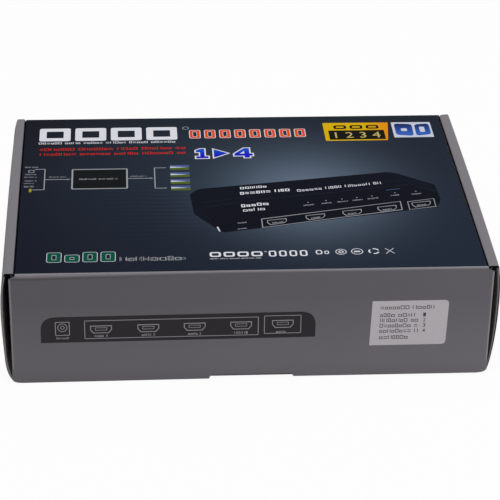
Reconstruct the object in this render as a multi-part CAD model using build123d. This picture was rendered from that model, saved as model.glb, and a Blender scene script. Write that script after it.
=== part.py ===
from build123d import *
import os

os.makedirs("parts", exist_ok=True)

# A closed carton of thin fluted board with a signal splitter inside it.
# X runs across the front, the front faces -Y and the carton rests on z = 0.

# Carton, outside
carton_width = 250.0  # over the two side strips
carton_depth = 178.1  # from the sticker's face to the back wall's face
carton_height = 64.0
board = 1.0  # thickness of the fluted board
crease_gap = 0.15  # room between a crease's round nose and the panel that turns about it
layer_gap = 0.1  # room between two layers of board that slide past each other
fold_gap = 0.05  # room between two layers of board that stay still

# Double side walls
ear_inset = 2.5  # from a strip's outer edge to the front panel's side crease
strip_setback = 1.6  # from the front panel's face to the strips' front ends
seam = 0.3  # between the lid and each strip
strip_round = 0.7
strip_corner = 1.2  # chamfer at each strip's inner back corner
wall_bulge = 2.2  # how far the outer walls belly out
wall_bow_shares = ((0.0, -1.3), (0.135, -0.14), (0.31, 0.6), (0.6, 1.0), (1.0, 0.0))  # height, bulge
flap_reach = 55.0  # dust flaps, along the side walls
flap_foot = 2.0  # dust flaps, above the base's underside
flap_corner = 8.0
tab_length = 30.0  # tabs of the inner walls in the base
tab_spacing = 90.0
tab_gap = 0.2

# Lid front panel with its ears and tongue
panel_foot = 1.0  # the panel's lower edge, above the table
panel_corner = 2.0
shoulder_drop = 3.0  # height of the slanted cut at each upper corner
notch_rise = 1.4
notch_slope = 0.9
tongue_width = 42.0
tongue_reach = 11.0
tongue_taper = 3.0
tongue_corner = 4.0
tongue_end_gap = 0.1
slot_side_gap = 1.0
slot_top_gap = 0.5
ear_reach = 14.0  # the blank that each ear's arc is cut from
ear_corner = 2.0
ear_arc_gap = 0.2  # between the ear's path and the strip's front end

# Sticker on the front panel
label_film = 0.1
label_width = 39.4
label_height = 26.4
label_right = 101.0  # centre line of the carton to the label's right edge
label_foot = 18.8
label_corner = 2.5

# Splitter unit
case_length = 175.0
case_depth = 66.0
case_height = 20.0
case_sheet = 1.0
case_round = 5.5
case_fit = 0.1  # between cover and tray
face_setback = 0.8  # of the port face, behind the cover's edge
flange_height = 14.0
foot_radius = 4.0
foot_height = 2.0
foot_inset = 9.0
cover_screw_radius = 1.5
cover_screw_length = 3.5
cover_head_radius = 2.6
cover_head_height = 0.9
cover_screw_height = 10.5
cover_screw_inset = 12.0
hole_gap = 0.1

# Circuit board
pcb_thickness = 1.6
pcb_edge_gap = 1.5
standoff_height = 4.0
standoff_radius = 2.6
pcb_screw_radius = 1.25
pcb_screw_length = 4.0
pcb_head_radius = 2.3
pcb_head_height = 1.2
pcb_hole_inset = 3.3

# Sockets, placed along the unit from its left end
power_lamp_share = 0.14
first_output_share = 0.2211
output_pitch_share = 0.1703
output_count = 4
input_share = 0.8823
socket_width = 15.0
socket_height = 6.0
socket_depth = 11.5
socket_wall = 0.5
socket_chamfer = 1.5
socket_proud = 0.6  # past the port face
socket_lift = 0.2  # above the circuit board, on its feet
tongue_blade = 1.1
blade_width = 11.0
blade_setback = 1.2
jack_width = 9.0
jack_height = 10.6
jack_depth = 14.0
jack_bore_radius = 3.2
jack_bore_depth = 9.5
jack_pin_radius = 1.05
jack_pin_setback = 1.0
jack_screw_gap = 0.405  # to the nearest board screw's head
port_gap = 0.15

# Chips and small pieces
chip_size = 14.0
chip_height = 1.2
pad_height = 0.5
sink_size = 28.0
sink_base = 1.5
sink_height = 6.0
sink_fin = 1.0
sink_fin_count = 8
chip_share = 0.377  # of its room between the ceramic row and the back wall
driver_size = 7.0
driver_height = 0.9
driver_from_face = 21.0
regulator_width = 6.5
regulator_depth = 6.0
regulator_height = 1.8
inductor_size = 7.0
inductor_height = 4.0
inductor_round = 1.5
bulk_radius = 3.15
bulk_height = 7.5
bulk_pitch = 9.0
bulk_count = 3
crystal_length = 11.0
crystal_width = 4.6
crystal_height = 3.5
crystal_round = 2.2
crystal_gap = 7.0  # from the heat sink
power_row_from_face = 32.0
ceramic_length = 1.6
ceramic_width = 0.8
ceramic_height = 0.8
ceramic_pitch = 3.2
ceramic_rows = 4
ceramic_gap = 2.0
lamp_size = 2.0
lamp_height = 0.8
lamp_from_face = 15.5
pipe_size = 1.6
pipe_height = 15.8  # of the pipes' axis, above the case's underside
pipe_gap = 0.1

# Insert and leaflet
insert_side_gap = 0.4
insert_top_gap = 3.8  # from the deck's top to the lid
cell_margin = 9.0  # from the front wall to the unit's cell
cell_gap = 1.5  # round the unit
cell_drop = 15.0
bay_width = 178.0
bay_depth = 70.0
bay_margin = 9.0
riser_margin = 1.5  # past the unit's feet
leaflet_width = 142.0
leaflet_depth = 62.0
leaflet_height = 1.2
leaflet_round = 0.3

cut_over = 5.0  # how far every cutter runs past what it cuts

# Places that follow from the sizes
half_width = carton_width / 2
back_face = carton_depth / 2
front_face = label_film - carton_depth / 2
lid_underside = carton_height - board
crease_height = carton_height - board / 2
front_crease = front_face + board / 2
back_crease = back_face - board / 2
ear_face = half_width - ear_inset
flap_face = ear_face - board - layer_gap
inner_wall_face = flap_face - board - fold_gap
strip_edge = inner_wall_face - board
lid_half = strip_edge - seam
wall_top = lid_underside - crease_gap
tongue_front = front_face + board + crease_gap
front_wall_front = tongue_front + board + crease_gap
front_wall_back = front_wall_front + board
back_wall_front = back_face - board
tongue_crease_height = panel_foot + notch_rise


def block(x_span, y_span, z_span):
    """A box between two places along each axis."""
    spans = (x_span, y_span, z_span)
    corner = [min(span) for span in spans]
    size = [max(span) - min(span) for span in spans]
    return Pos(*corner) * Box(*size, align=(Align.MIN, Align.MIN, Align.MIN))


def rod(radius, start, direction, length):
    """A round bar from start, running along direction."""
    plane = Plane(origin=start, z_dir=direction)
    return plane * Cylinder(radius, length, align=(Align.CENTER, Align.CENTER, Align.MIN))


def keep(node, *solids):
    """Writes one sub-part, which may be a group of separate solids."""
    shape = solids[0] if len(solids) == 1 else Compound(children=list(solids))
    export_step(shape, f"parts/{node}.step")


def sides():
    """The two sides of the carton, with the sign of x on each."""
    return (("left", -1), ("right", 1))


def rounded(solid, axis, radius, corners):
    """Rounds the edges along axis that lie nearest to the given corners."""
    edges = solid.edges().filter_by(axis)
    chosen = [min(edges, key=lambda edge: (edge.center() - Vector(*corner)).length) for corner in corners]
    return fillet(chosen, radius)


# Lid: a flat panel whose front and back ends are the round noses of its two creases.
def lid_panel():
    flat = block((-lid_half, lid_half), (front_crease, back_crease), (lid_underside, carton_height))
    for place in (front_crease, back_crease):
        flat += rod(board / 2, (-lid_half, place, crease_height), (1, 0, 0), 2 * lid_half)
    return flat


# Front panel: wider than the lid, so each upper corner is cut on a slant.
def front_panel():
    notch_half = tongue_width / 2
    shoulder = wall_top - shoulder_drop
    right = [
        (lid_half, wall_top),
        (ear_face, shoulder),
        (ear_face, panel_foot),
        (notch_half + notch_slope, panel_foot),
        (notch_half, tongue_crease_height),
    ]
    left = [(-x, z) for x, z in reversed(right)]
    outline = make_face(Polyline(*right, *left, close=True))
    panel = extrude(Plane.XZ.offset(-front_face) * outline, -board)
    middle = front_face + board / 2
    feet = [(side * ear_face, middle, panel_foot) for name, side in sides()]
    return rounded(panel, Axis.Y, panel_corner, feet)


# Ear: its inner edge is an arc about the lid's back crease, so it swings out clear of the strip above it.
def ear(side):
    foot = wall_bow_shares[1][0] * lid_underside
    head = wall_top - shoulder_drop
    root = front_face + board
    outside = side * ear_face
    blank = block((outside, outside - side * board), (root, root + ear_reach), (foot, head))
    strip_end = back_crease - front_face - strip_setback
    path_radius = strip_end + ear_arc_gap
    start = (-half_width - cut_over, back_crease, crease_height)
    blank -= rod(path_radius, start, (1, 0, 0), carton_width + 2 * cut_over)
    tip = blank.bounding_box().max.Y
    return rounded(blank, Axis.X, ear_corner, [(outside, tip, foot)])


# Lock tongue: folded up flat behind the front panel, about a crease at the notch.
def lock_tongue():
    root = tongue_crease_height + tongue_end_gap
    tip = tongue_crease_height + tongue_reach
    half = tongue_width / 2 - tongue_end_gap
    tip_half = half - tongue_taper
    corners = [(half, root), (tip_half, tip), (-tip_half, tip), (-half, root)]
    outline = make_face(Polyline(*corners, close=True))
    tongue = extrude(Plane.XZ.offset(-tongue_front) * outline, -board)
    middle = tongue_front + board / 2
    return rounded(tongue, Axis.Y, tongue_corner, [(side * tip_half, middle, tip) for name, side in sides()])


def port_label():
    x_span = (label_right - label_width, label_right)
    film = block(x_span, (front_face - label_film, front_face), (label_foot, label_foot + label_height))
    middle = front_face - label_film / 2
    right_corners = [(label_right, middle, label_foot), (label_right, middle, label_foot + label_height)]
    return rounded(film, Axis.Y, label_corner, right_corners)


# Tray: base, walls and the rolled strips on top of the side walls.
def bow(height_share):
    """How far out the outer wall stands at a marked share of its height."""
    return dict(wall_bow_shares)[height_share] * wall_bulge


wall_foot_inside = half_width + bow(0.0) - board


def tongue_slot():
    """The cutter for the slot that the lock tongue enters, just above the base."""
    slot_half = tongue_width / 2 + slot_side_gap
    slot_top = tongue_crease_height + slot_top_gap
    return block((-slot_half, slot_half), (front_face, front_wall_back + cut_over), (board, slot_top))


def base_panel():
    base = block((-wall_foot_inside, wall_foot_inside), (front_wall_back, back_wall_front), (0, board))
    for name, side in sides():
        for place in (-tab_spacing / 2, tab_spacing / 2):
            x_span = (side * (strip_edge - tab_gap), side * (inner_wall_face + tab_gap))
            reach = tab_length / 2 + tab_gap
            base -= block(x_span, (place - reach, place + reach), (-cut_over, board + cut_over))
    return base


def upright(y_span):
    """A front or back wall, its lower corners cut clear of the side walls' feet."""
    wall = block((-flap_face, flap_face), y_span, (0, wall_top))
    middle = (y_span[0] + y_span[1]) / 2
    edges = wall.edges().filter_by(Axis.Y)
    feet = [Vector(side * flap_face, middle, 0) for name, side in sides()]
    return chamfer([min(edges, key=lambda edge: (edge.center() - foot).length) for foot in feet], flap_foot)


def back_wall():
    return upright((back_wall_front, back_face))


def front_wall():
    wall = upright((front_wall_front, front_wall_back))
    return wall - tongue_slot()


def outer_wall(side):
    marks = [(half_width + push * wall_bulge, share * lid_underside) for share, push in wall_bow_shares]
    outer = [(side * x, z) for x, z in marks]
    inner = [(x - side * board, z) for x, z in outer]
    lines = [Spline(*outer), Line(outer[-1], inner[-1]), Spline(*inner), Line(inner[0], outer[0])]
    outline = make_face(Curve() + lines)
    length = back_face - front_face - strip_setback
    return extrude(Plane.XZ.offset(-back_face) * outline, length)


def top_strip(side):
    y_span = (front_face + strip_setback, back_face)
    strip = block((side * strip_edge, side * half_width), y_span, (lid_underside, carton_height))
    corner = (side * strip_edge, back_face, lid_underside + board / 2)
    upright = strip.edges().filter_by(Axis.Z)
    strip = chamfer([min(upright, key=lambda edge: (edge.center() - Vector(*corner)).length)], strip_corner)
    long_edges = strip.edges().filter_by(Axis.Y).group_by(Axis.Z)[-1]
    return fillet(long_edges, strip_round)


def inner_wall(side):
    x_span = (side * strip_edge, side * inner_wall_face)
    y_span = (front_wall_back + tab_gap, back_wall_front - tab_gap)
    wall = block(x_span, y_span, (board, lid_underside))
    for place in (-tab_spacing / 2, tab_spacing / 2):
        wall += block(x_span, (place - tab_length / 2, place + tab_length / 2), (0, board))
    return wall


def dust_flap(side, root, direction):
    x_span = (side * flap_face, side * (flap_face - board))
    tip = root + direction * flap_reach
    top = wall_top - flap_foot
    flap = block(x_span, (root, tip), (flap_foot, top))
    middle = side * (flap_face - board / 2)
    return rounded(flap, Axis.X, flap_corner, [(middle, tip, flap_foot), (middle, tip, top)])


# Insert: a deck on four legs, with a cell for the unit in front and an open bay behind.
deck_top = lid_underside - insert_top_gap
deck_under = deck_top - board
insert_half = strip_edge - insert_side_gap
insert_front = front_wall_back + insert_side_gap
insert_back = back_wall_front - insert_side_gap
cell_front = front_wall_back + cell_margin
cell_back = cell_front + case_depth + 2 * cell_gap
cell_half = case_length / 2 + cover_head_height + cell_gap
bay_back = back_wall_front - bay_margin
bay_front = bay_back - bay_depth
case_front = cell_front + cell_gap
case_back = case_front + case_depth
case_top = deck_top + cell_gap
case_floor = case_top - case_height
riser_top = case_floor - foot_height


def insert_deck():
    deck = block((-insert_half, insert_half), (insert_front, insert_back), (deck_under, deck_top))
    z_span = (deck_under - cut_over, deck_top + cut_over)
    deck -= block((-cell_half, cell_half), (cell_front, cell_back), z_span)
    return deck - block((-bay_width / 2, bay_width / 2), (bay_front, bay_back), z_span)


def insert_legs():
    z_span = (board, deck_under)
    x_span = (-insert_half + board, insert_half - board)
    legs = {"front": block(x_span, (insert_front, insert_front + board), z_span) - tongue_slot()}
    legs["back"] = block(x_span, (insert_back - board, insert_back), z_span)
    for name, side in sides():
        x_span = (side * (insert_half - board), side * insert_half)
        legs[name] = block(x_span, (insert_front, insert_back), z_span)
    return legs


def cell_flaps(half, front, back):
    """Two flaps that hang from the deck along a cell's long edges."""
    z_span = (deck_under - cell_drop, deck_under)
    return [block((-half, half), y_span, z_span) for y_span in ((front - board, front), (back, back + board))]


def device_riser():
    middle = (case_front + case_back) / 2
    reach = case_depth / 2 - foot_inset + foot_radius + riser_margin
    y_span = (middle - reach, middle + reach)
    half = case_length / 2 - foot_inset + foot_radius + riser_margin
    riser = block((-half, half), y_span, (riser_top - board, riser_top))
    for name, side in sides():
        riser += block((side * (half - board), side * half), y_span, (board, riser_top - board))
    return riser


def user_leaflet():
    middle = (bay_front + bay_back) / 2
    y_span = (middle - leaflet_depth / 2, middle + leaflet_depth / 2)
    leaflet = block((-leaflet_width / 2, leaflet_width / 2), y_span, (board, board + leaflet_height))
    spine = leaflet.edges().filter_by(Axis.X).group_by(Axis.Y)[0]
    return fillet(spine, leaflet_round)


# Splitter unit: a cover over a tray, with the circuit board on four standoffs.
case_half = case_length / 2
tray_half = case_half - case_sheet - case_fit
port_face = case_front + face_setback
rear_face = case_back - face_setback
tray_inside_front = port_face + case_sheet
tray_inside_back = rear_face - case_sheet
pcb_underside = case_floor + case_sheet + standoff_height
pcb_top = pcb_underside + pcb_thickness
pcb_front = tray_inside_front + pcb_edge_gap
pcb_back = tray_inside_back - pcb_edge_gap
pcb_half = tray_half - case_sheet - pcb_edge_gap
output_shares = [first_output_share + n * output_pitch_share for n in range(output_count)]
socket_places = [share * case_length - case_half for share in output_shares + [input_share]]
power_x = pcb_hole_inset - pcb_half + pcb_head_radius + jack_screw_gap + jack_width / 2
lamp_places = [power_lamp_share * case_length - case_half] + socket_places
socket_floor = pcb_top + socket_lift
socket_mouth = port_face - socket_proud
jack_axis = pcb_top + jack_height / 2
pipe_axis = case_floor + pipe_height


def hoop(half, top, round_radius, y_span):
    """A bar with square lower corners and round upper ones, along Y."""
    bar = block((-half, half), y_span, (case_floor, top))
    middle = (y_span[0] + y_span[1]) / 2
    return rounded(bar, Axis.Y, round_radius, [(side * half, middle, top) for name, side in sides()])


def cover_screw_places():
    ends = (case_front + cover_screw_inset, case_back - cover_screw_inset)
    return [(side, y, case_floor + cover_screw_height) for name, side in sides() for y in ends]


def top_cover():
    cover = hoop(case_half, case_top, case_round, (case_front, case_back))
    inner_round = case_round - case_sheet
    y_span = (case_front - cut_over, case_back + cut_over)
    cover -= hoop(case_half - case_sheet, case_top - case_sheet, inner_round, y_span)
    for side, y, z in cover_screw_places():
        start = (side * (case_half - case_sheet - cut_over), y, z)
        cover -= rod(cover_screw_radius + hole_gap, start, (side, 0, 0), case_sheet + 2 * cut_over)
    return cover


def tray_wall(y_span):
    """One of the tray's tall walls, shaped to the inside of the cover."""
    inside_top = case_top - case_sheet - case_fit
    return hoop(tray_half, inside_top, case_round - case_sheet - case_fit, y_span)


def bottom_tray():
    tray = block((-tray_half, tray_half), (port_face, rear_face), (case_floor, case_floor + case_sheet))
    tray += tray_wall((port_face, tray_inside_front))
    tray += tray_wall((tray_inside_back, rear_face))
    for name, side in sides():
        x_span = (side * tray_half, side * (tray_half - case_sheet))
        tray += block(x_span, (port_face, rear_face), (case_floor, case_floor + flange_height))
    y_span = (port_face - cut_over, tray_inside_front + cut_over)
    reach = socket_width / 2 + port_gap
    z_span = (socket_floor - port_gap, socket_floor + socket_height + port_gap)
    for x in socket_places:
        tray -= block((x - reach, x + reach), y_span, z_span)
    reach = jack_width / 2 + port_gap
    z_span = (pcb_top - port_gap, pcb_top + jack_height + port_gap)
    tray -= block((power_x - reach, power_x + reach), y_span, z_span)
    for x in lamp_places:
        start = (x, port_face - cut_over, pipe_axis)
        tray -= rod(pipe_size / 2 + pipe_gap, start, (0, 1, 0), case_sheet + 2 * cut_over)
    for side, y, z in cover_screw_places():
        start = (side * (tray_half - case_sheet - cut_over), y, z)
        tray -= rod(cover_screw_radius + hole_gap, start, (side, 0, 0), case_sheet + 2 * cut_over)
    return tray


def cover_screws():
    screws = []
    for side, y, z in cover_screw_places():
        shank = rod(cover_screw_radius, (side * case_half, y, z), (-side, 0, 0), cover_screw_length)
        head = rod(cover_head_radius, (side * case_half, y, z), (side, 0, 0), cover_head_height)
        screws.append(shank + head)
    return screws


def rubber_feet():
    xs = (foot_inset - case_half, case_half - foot_inset)
    ys = (case_front + foot_inset, case_back - foot_inset)
    return [rod(foot_radius, (x, y, riser_top), (0, 0, 1), foot_height) for x in xs for y in ys]


def pcb_hole_places():
    xs = (pcb_hole_inset - pcb_half, pcb_half - pcb_hole_inset)
    ys = (pcb_front + pcb_hole_inset, pcb_back - pcb_hole_inset)
    return [(x, y) for x in xs for y in ys]


def main_pcb():
    pcb = block((-pcb_half, pcb_half), (pcb_front, pcb_back), (pcb_underside, pcb_top))
    for x, y in pcb_hole_places():
        start = (x, y, pcb_underside - cut_over)
        pcb -= rod(pcb_screw_radius + hole_gap, start, (0, 0, 1), pcb_thickness + 2 * cut_over)
    return pcb


def pcb_standoffs():
    posts = []
    for x, y in pcb_hole_places():
        post = rod(standoff_radius, (x, y, case_floor + case_sheet), (0, 0, 1), standoff_height)
        bore_length = cut_over + pcb_screw_length
        bore = rod(pcb_screw_radius + hole_gap, (x, y, pcb_top + cut_over), (0, 0, -1), bore_length)
        posts.append(post - bore)
    return posts


def pcb_screws():
    screws = []
    for x, y in pcb_hole_places():
        head = rod(pcb_head_radius, (x, y, pcb_top), (0, 0, 1), pcb_head_height)
        screws.append(head + rod(pcb_screw_radius, (x, y, pcb_top), (0, 0, -1), pcb_screw_length - hole_gap))
    return screws


def socket_shell(x):
    """A bent metal shell with a back wall and its two lower edges cut on a slant."""
    y_span = (socket_mouth, socket_mouth + socket_depth)
    half = socket_width / 2
    top = socket_floor + socket_height
    shell = block((x - half, x + half), y_span, (socket_floor, top))
    low_edges = shell.edges().filter_by(Axis.Y).group_by(Axis.Z)[0]
    shell = chamfer(low_edges, socket_chamfer)
    inner_half = half - socket_wall
    mouth = block(
        (x - inner_half, x + inner_half),
        (socket_mouth - cut_over, socket_mouth + socket_depth - socket_wall),
        (socket_floor + socket_wall, top - socket_wall),
    )
    mouth = chamfer(mouth.edges().filter_by(Axis.Y).group_by(Axis.Z)[0], socket_chamfer)
    shell -= mouth
    middle = socket_mouth + socket_depth / 2
    for name, side in sides():
        foot_x = x + side * (half - socket_chamfer - socket_wall)
        shell += block((foot_x - side * socket_wall, foot_x), (middle, y_span[1]), (pcb_top, socket_floor))
    return shell


def socket_blade(x):
    z = socket_floor + socket_height / 2
    y_span = (socket_mouth + blade_setback, socket_mouth + socket_depth - socket_wall)
    x_span = (x - blade_width / 2, x + blade_width / 2)
    return block(x_span, y_span, (z - tongue_blade / 2, z + tongue_blade / 2))


def dc_jack():
    y_span = (socket_mouth, socket_mouth + jack_depth)
    half = jack_width / 2
    jack = block((power_x - half, power_x + half), y_span, (pcb_top, pcb_top + jack_height))
    mouth = (power_x, socket_mouth - cut_over, jack_axis)
    jack -= rod(jack_bore_radius, mouth, (0, 1, 0), cut_over + jack_bore_depth)
    pin_start = (power_x, socket_mouth + jack_pin_setback, jack_axis)
    return jack + rod(jack_pin_radius, pin_start, (0, 1, 0), jack_bore_depth)


def centred(x, y, width, depth, floor, height):
    """A box centred on x and y that stands on floor."""
    return block((x - width / 2, x + width / 2), (y - depth / 2, y + depth / 2), (floor, floor + height))


ceramic_y = port_face + driver_from_face + driver_size / 2 + ceramic_gap
chip_first_y = ceramic_y + ceramic_length / 2 + chip_size / 2
chip_last_y = tray_inside_back - sink_size / 2
chip_y = chip_first_y + chip_share * (chip_last_y - chip_first_y)
sink_floor = pcb_top + chip_height + pad_height


def heat_sink():
    sink = centred(0, chip_y, sink_size, sink_size, sink_floor, sink_base)
    pitch = (sink_size - sink_fin) / (sink_fin_count - 1)
    for n in range(sink_fin_count):
        x = n * pitch - (sink_size - sink_fin) / 2
        sink += centred(x, chip_y, sink_fin, sink_size, sink_floor + sink_base, sink_height - sink_base)
    return sink


def output_drivers():
    y = port_face + driver_from_face
    places = socket_places[:output_count]
    return [centred(x, y, driver_size, driver_size, pcb_top, driver_height) for x in places]


def ceramic_capacitors():
    """A row of small capacitors behind each output's driver chip."""
    row = [(n - (ceramic_rows - 1) / 2) * ceramic_pitch for n in range(ceramic_rows)]
    places = [x + step for x in socket_places[:output_count] for step in row]
    return [centred(x, ceramic_y, ceramic_width, ceramic_length, pcb_top, ceramic_height) for x in places]


power_row_y = port_face + power_row_from_face


def voltage_regulator():
    return centred(power_x, power_row_y, regulator_width, regulator_depth, pcb_top, regulator_height)


def bulk_capacitors():
    row = [power_x + n * bulk_pitch for n in range(bulk_count)]
    return [rod(bulk_radius, (x, power_row_y + bulk_pitch, pcb_top), (0, 0, 1), bulk_height) for x in row]


def power_inductor():
    coil = centred(power_x + bulk_pitch, power_row_y, inductor_size, inductor_size, pcb_top, inductor_height)
    return fillet(coil.edges().filter_by(Axis.Z), inductor_round)


def crystal():
    x = sink_size / 2 + crystal_gap + crystal_length / 2
    can = centred(x, chip_y, crystal_length, crystal_width, pcb_top, crystal_height)
    return fillet(can.edges().filter_by(Axis.Z), crystal_round)


def status_lamps():
    y = port_face + lamp_from_face
    return [centred(x, y, lamp_size, lamp_size, pcb_top, lamp_height) for x in lamp_places]


def light_pipes():
    """Clear bars that rise from the lamps and turn forward to the port face."""
    y = port_face + lamp_from_face
    floor = pcb_top + lamp_height
    pipes = []
    for x in lamp_places:
        riser = centred(x, y, pipe_size, pipe_size, floor, pipe_axis + pipe_size / 2 - floor)
        pipes.append(riser + rod(pipe_size / 2, (x, y, pipe_axis), (0, -1, 0), lamp_from_face))
    return pipes


keep("lid_panel", lid_panel())
keep("lid_front_panel", front_panel())
keep("lock_tongue", lock_tongue())
keep("port_label", port_label())
keep("base_panel", base_panel())
keep("back_wall", back_wall())
keep("front_wall", front_wall())
for name, side in sides():
    keep(f"{name}_ear", ear(side))
    keep(f"{name}_outer_wall", outer_wall(side))
    keep(f"{name}_top_strip", top_strip(side))
    keep(f"{name}_inner_wall", inner_wall(side))
    keep(f"{name}_front_dust_flap", dust_flap(side, front_wall_back, 1))
    keep(f"{name}_back_dust_flap", dust_flap(side, back_wall_front, -1))

keep("insert_deck", insert_deck())
for name, leg in insert_legs().items():
    keep(f"insert_{name}_leg", leg)
keep("device_cell_flaps", *cell_flaps(cell_half, cell_front, cell_back))
keep("bay_flaps", *cell_flaps(bay_width / 2, bay_front, bay_back))
keep("device_riser", device_riser())
keep("user_leaflet", user_leaflet())

keep("top_cover", top_cover())
keep("bottom_tray", bottom_tray())
keep("cover_screws", *cover_screws())
keep("rubber_feet", *rubber_feet())
keep("main_pcb", main_pcb())
keep("pcb_standoffs", *pcb_standoffs())
keep("pcb_screws", *pcb_screws())
for number, x in enumerate(socket_places, 1):
    node = f"hdmi_output_{number}" if number <= output_count else "hdmi_input"
    keep(node, socket_shell(x))
keep("socket_blades", *[socket_blade(x) for x in socket_places])
keep("dc_jack", dc_jack())
keep("splitter_chip", centred(0, chip_y, chip_size, chip_size, pcb_top, chip_height))
keep("thermal_pad", centred(0, chip_y, chip_size, chip_size, pcb_top + chip_height, pad_height))
keep("heat_sink", heat_sink())
keep("output_drivers", *output_drivers())
keep("ceramic_capacitors", *ceramic_capacitors())
keep("voltage_regulator", voltage_regulator())
keep("power_inductor", power_inductor())
keep("bulk_capacitors", *bulk_capacitors())
keep("crystal", crystal())
keep("status_lamps", *status_lamps())
keep("light_pipes", *light_pipes())
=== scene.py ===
import bmesh
import bpy
import numpy as np
from mathutils import Matrix, Vector


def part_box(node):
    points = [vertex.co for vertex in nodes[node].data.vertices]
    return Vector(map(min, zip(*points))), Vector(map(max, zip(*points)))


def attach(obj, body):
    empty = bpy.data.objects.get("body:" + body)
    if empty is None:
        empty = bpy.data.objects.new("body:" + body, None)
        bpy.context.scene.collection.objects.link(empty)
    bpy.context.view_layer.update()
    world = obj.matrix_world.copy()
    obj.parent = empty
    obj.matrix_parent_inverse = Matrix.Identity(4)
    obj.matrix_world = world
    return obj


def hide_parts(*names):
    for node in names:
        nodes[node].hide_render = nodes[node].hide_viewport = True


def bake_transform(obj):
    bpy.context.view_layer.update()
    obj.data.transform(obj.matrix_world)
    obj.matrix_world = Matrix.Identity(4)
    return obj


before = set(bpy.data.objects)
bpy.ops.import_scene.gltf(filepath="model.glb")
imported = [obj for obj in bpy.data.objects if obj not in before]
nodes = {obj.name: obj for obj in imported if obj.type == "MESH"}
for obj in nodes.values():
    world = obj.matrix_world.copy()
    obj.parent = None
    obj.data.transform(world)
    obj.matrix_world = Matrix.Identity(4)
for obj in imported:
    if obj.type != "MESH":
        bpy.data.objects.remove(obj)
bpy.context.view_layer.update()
print("frame loaded:", len(nodes), "nodes")

mm = 0.001  # shapes are worked out in millimetres

view = {"eye": (-65.861, -979.537, 580.864), "yaw": 4.105, "pitch": 29.47, "roll": 1.109,
        "focalPixels": 2058.235, "picturePixels": 500, "sensor": 36}


def addObject(name, data):
    made = bpy.data.objects.new(name, data)
    bpy.context.scene.collection.objects.link(made)
    return made


# Looks along yaw and pitch, then turns about its own line of sight by the roll.
def setCamera():
    yaw, pitch, roll = np.radians([view["yaw"], view["pitch"], view["roll"]])
    forward = Vector((np.sin(yaw) * np.cos(pitch), np.cos(yaw) * np.cos(pitch), -np.sin(pitch)))
    level = Vector((np.cos(yaw), -np.sin(yaw), 0))
    upward = level.cross(forward)
    right = level * np.cos(roll) + upward * np.sin(roll)
    top = upward * np.cos(roll) - level * np.sin(roll)
    lens = bpy.data.cameras.new("photoCamera")
    lens.sensor_width = view["sensor"]
    lens.lens = view["focalPixels"] * view["sensor"] / view["picturePixels"]
    lens.clip_start, lens.clip_end = 0.01, 30
    eye = addObject("photoCamera", lens)
    turned = Matrix((right, top, -forward)).transposed().to_4x4()
    eye.matrix_world = Matrix.Translation(Vector(view["eye"]) * mm) @ turned
    bpy.context.scene.camera = eye


setCamera()
bpy.context.scene.view_settings.view_transform = "Standard"
print("camera set")


# A shader socket whose arithmetic adds nodes.
class Wire:
    def __init__(self, socket):
        self.socket = socket

    # Adds any node to this wire's tree: its settings first, then its sockets' values or links.
    def add(self, kind, settings=None, inputs=None, output=0):
        tree = self.socket.id_data
        made = tree.nodes.new("ShaderNode" + kind)
        for name, value in (settings or {}).items():
            setattr(made, name, value)
        for name, value in (inputs or {}).items():
            if isinstance(value, Wire):
                tree.links.new(value.socket, made.inputs[name])
            else:
                made.inputs[name].default_value = value
        return Wire(made.outputs[output])

    def maths(self, operation, first, second=0.0):
        return self.add("Math", {"operation": operation}, {0: first, 1: second})

    __add__ = __radd__ = lambda self, other: self.maths("ADD", self, other)
    __mul__ = __rmul__ = lambda self, other: self.maths("MULTIPLY", self, other)
    __sub__ = lambda self, other: self.maths("SUBTRACT", self, other)
    __rsub__ = lambda self, other: self.maths("SUBTRACT", other, self)
    __truediv__ = lambda self, other: self.maths("DIVIDE", self, other)
    __pow__ = lambda self, other: self.maths("POWER", self, other)
    __lt__ = lambda self, other: self.maths("LESS_THAN", self, other)

    def sine(self):
        return self.maths("SINE", self)

    # e to the power of minus this wire.
    def decay(self):
        return self.maths("EXPONENT", self * -1.0)

    def clamped(self):
        return self.add("Clamp", None, {"Value": self})

    def axis(self, name):
        return self.add("SeparateXYZ", None, {0: self}, "XYZ".index(name))

    # 0 where the place along an axis is low, 1 where it is high, straight between.
    def ramp(self, name, low, high):
        return ((self.axis(name) - low * mm) / ((high - low) * mm)).clamped()

    # Noise from 0 to 1 at this place, its grains pulled out along the small stretches.
    def noise(self, scale, detail=3.0, rough=0.55, stretch=(1, 1, 1)):
        place = self.add("Mapping", None, {"Vector": self, "Scale": stretch})
        return self.add("TexNoise", None, {"Vector": place, "Scale": scale, "Detail": detail,
                                           "Roughness": rough})

    # Mixes two colours by this wire.
    def blend(self, low, high):
        return self.add("Mix", {"data_type": "RGBA"}, {0: self, 6: low, 7: high}, 2)

    # Adds this wire's share of a colour to a ground.
    def glow(self, colour, ground):
        return self.add("VectorMath", {"operation": "MULTIPLY_ADD"}, {0: self, 1: colour, 2: ground})

    # Brightens or dims a colour by this wire.
    def dim(self, colour):
        return self.add("VectorMath", {"operation": "SCALE"}, {0: colour, "Scale": self})

    def bump(self, strength, distance):
        return self.add("Bump", None, {"Height": self, "Strength": strength, "Distance": distance})


# A screen colour as a linear one.
def tone(red, green, blue):
    share = np.array([red, green, blue]) / 255
    linear = np.where(share <= 0.04045, share / 12.92, ((share + 0.055) / 1.055) ** 2.4)
    return (*linear.tolist(), 1.0)


# A colour made darker or lighter.
def shade(colour, factor):
    return (*(factor * part for part in colour[:3]), 1.0)


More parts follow.
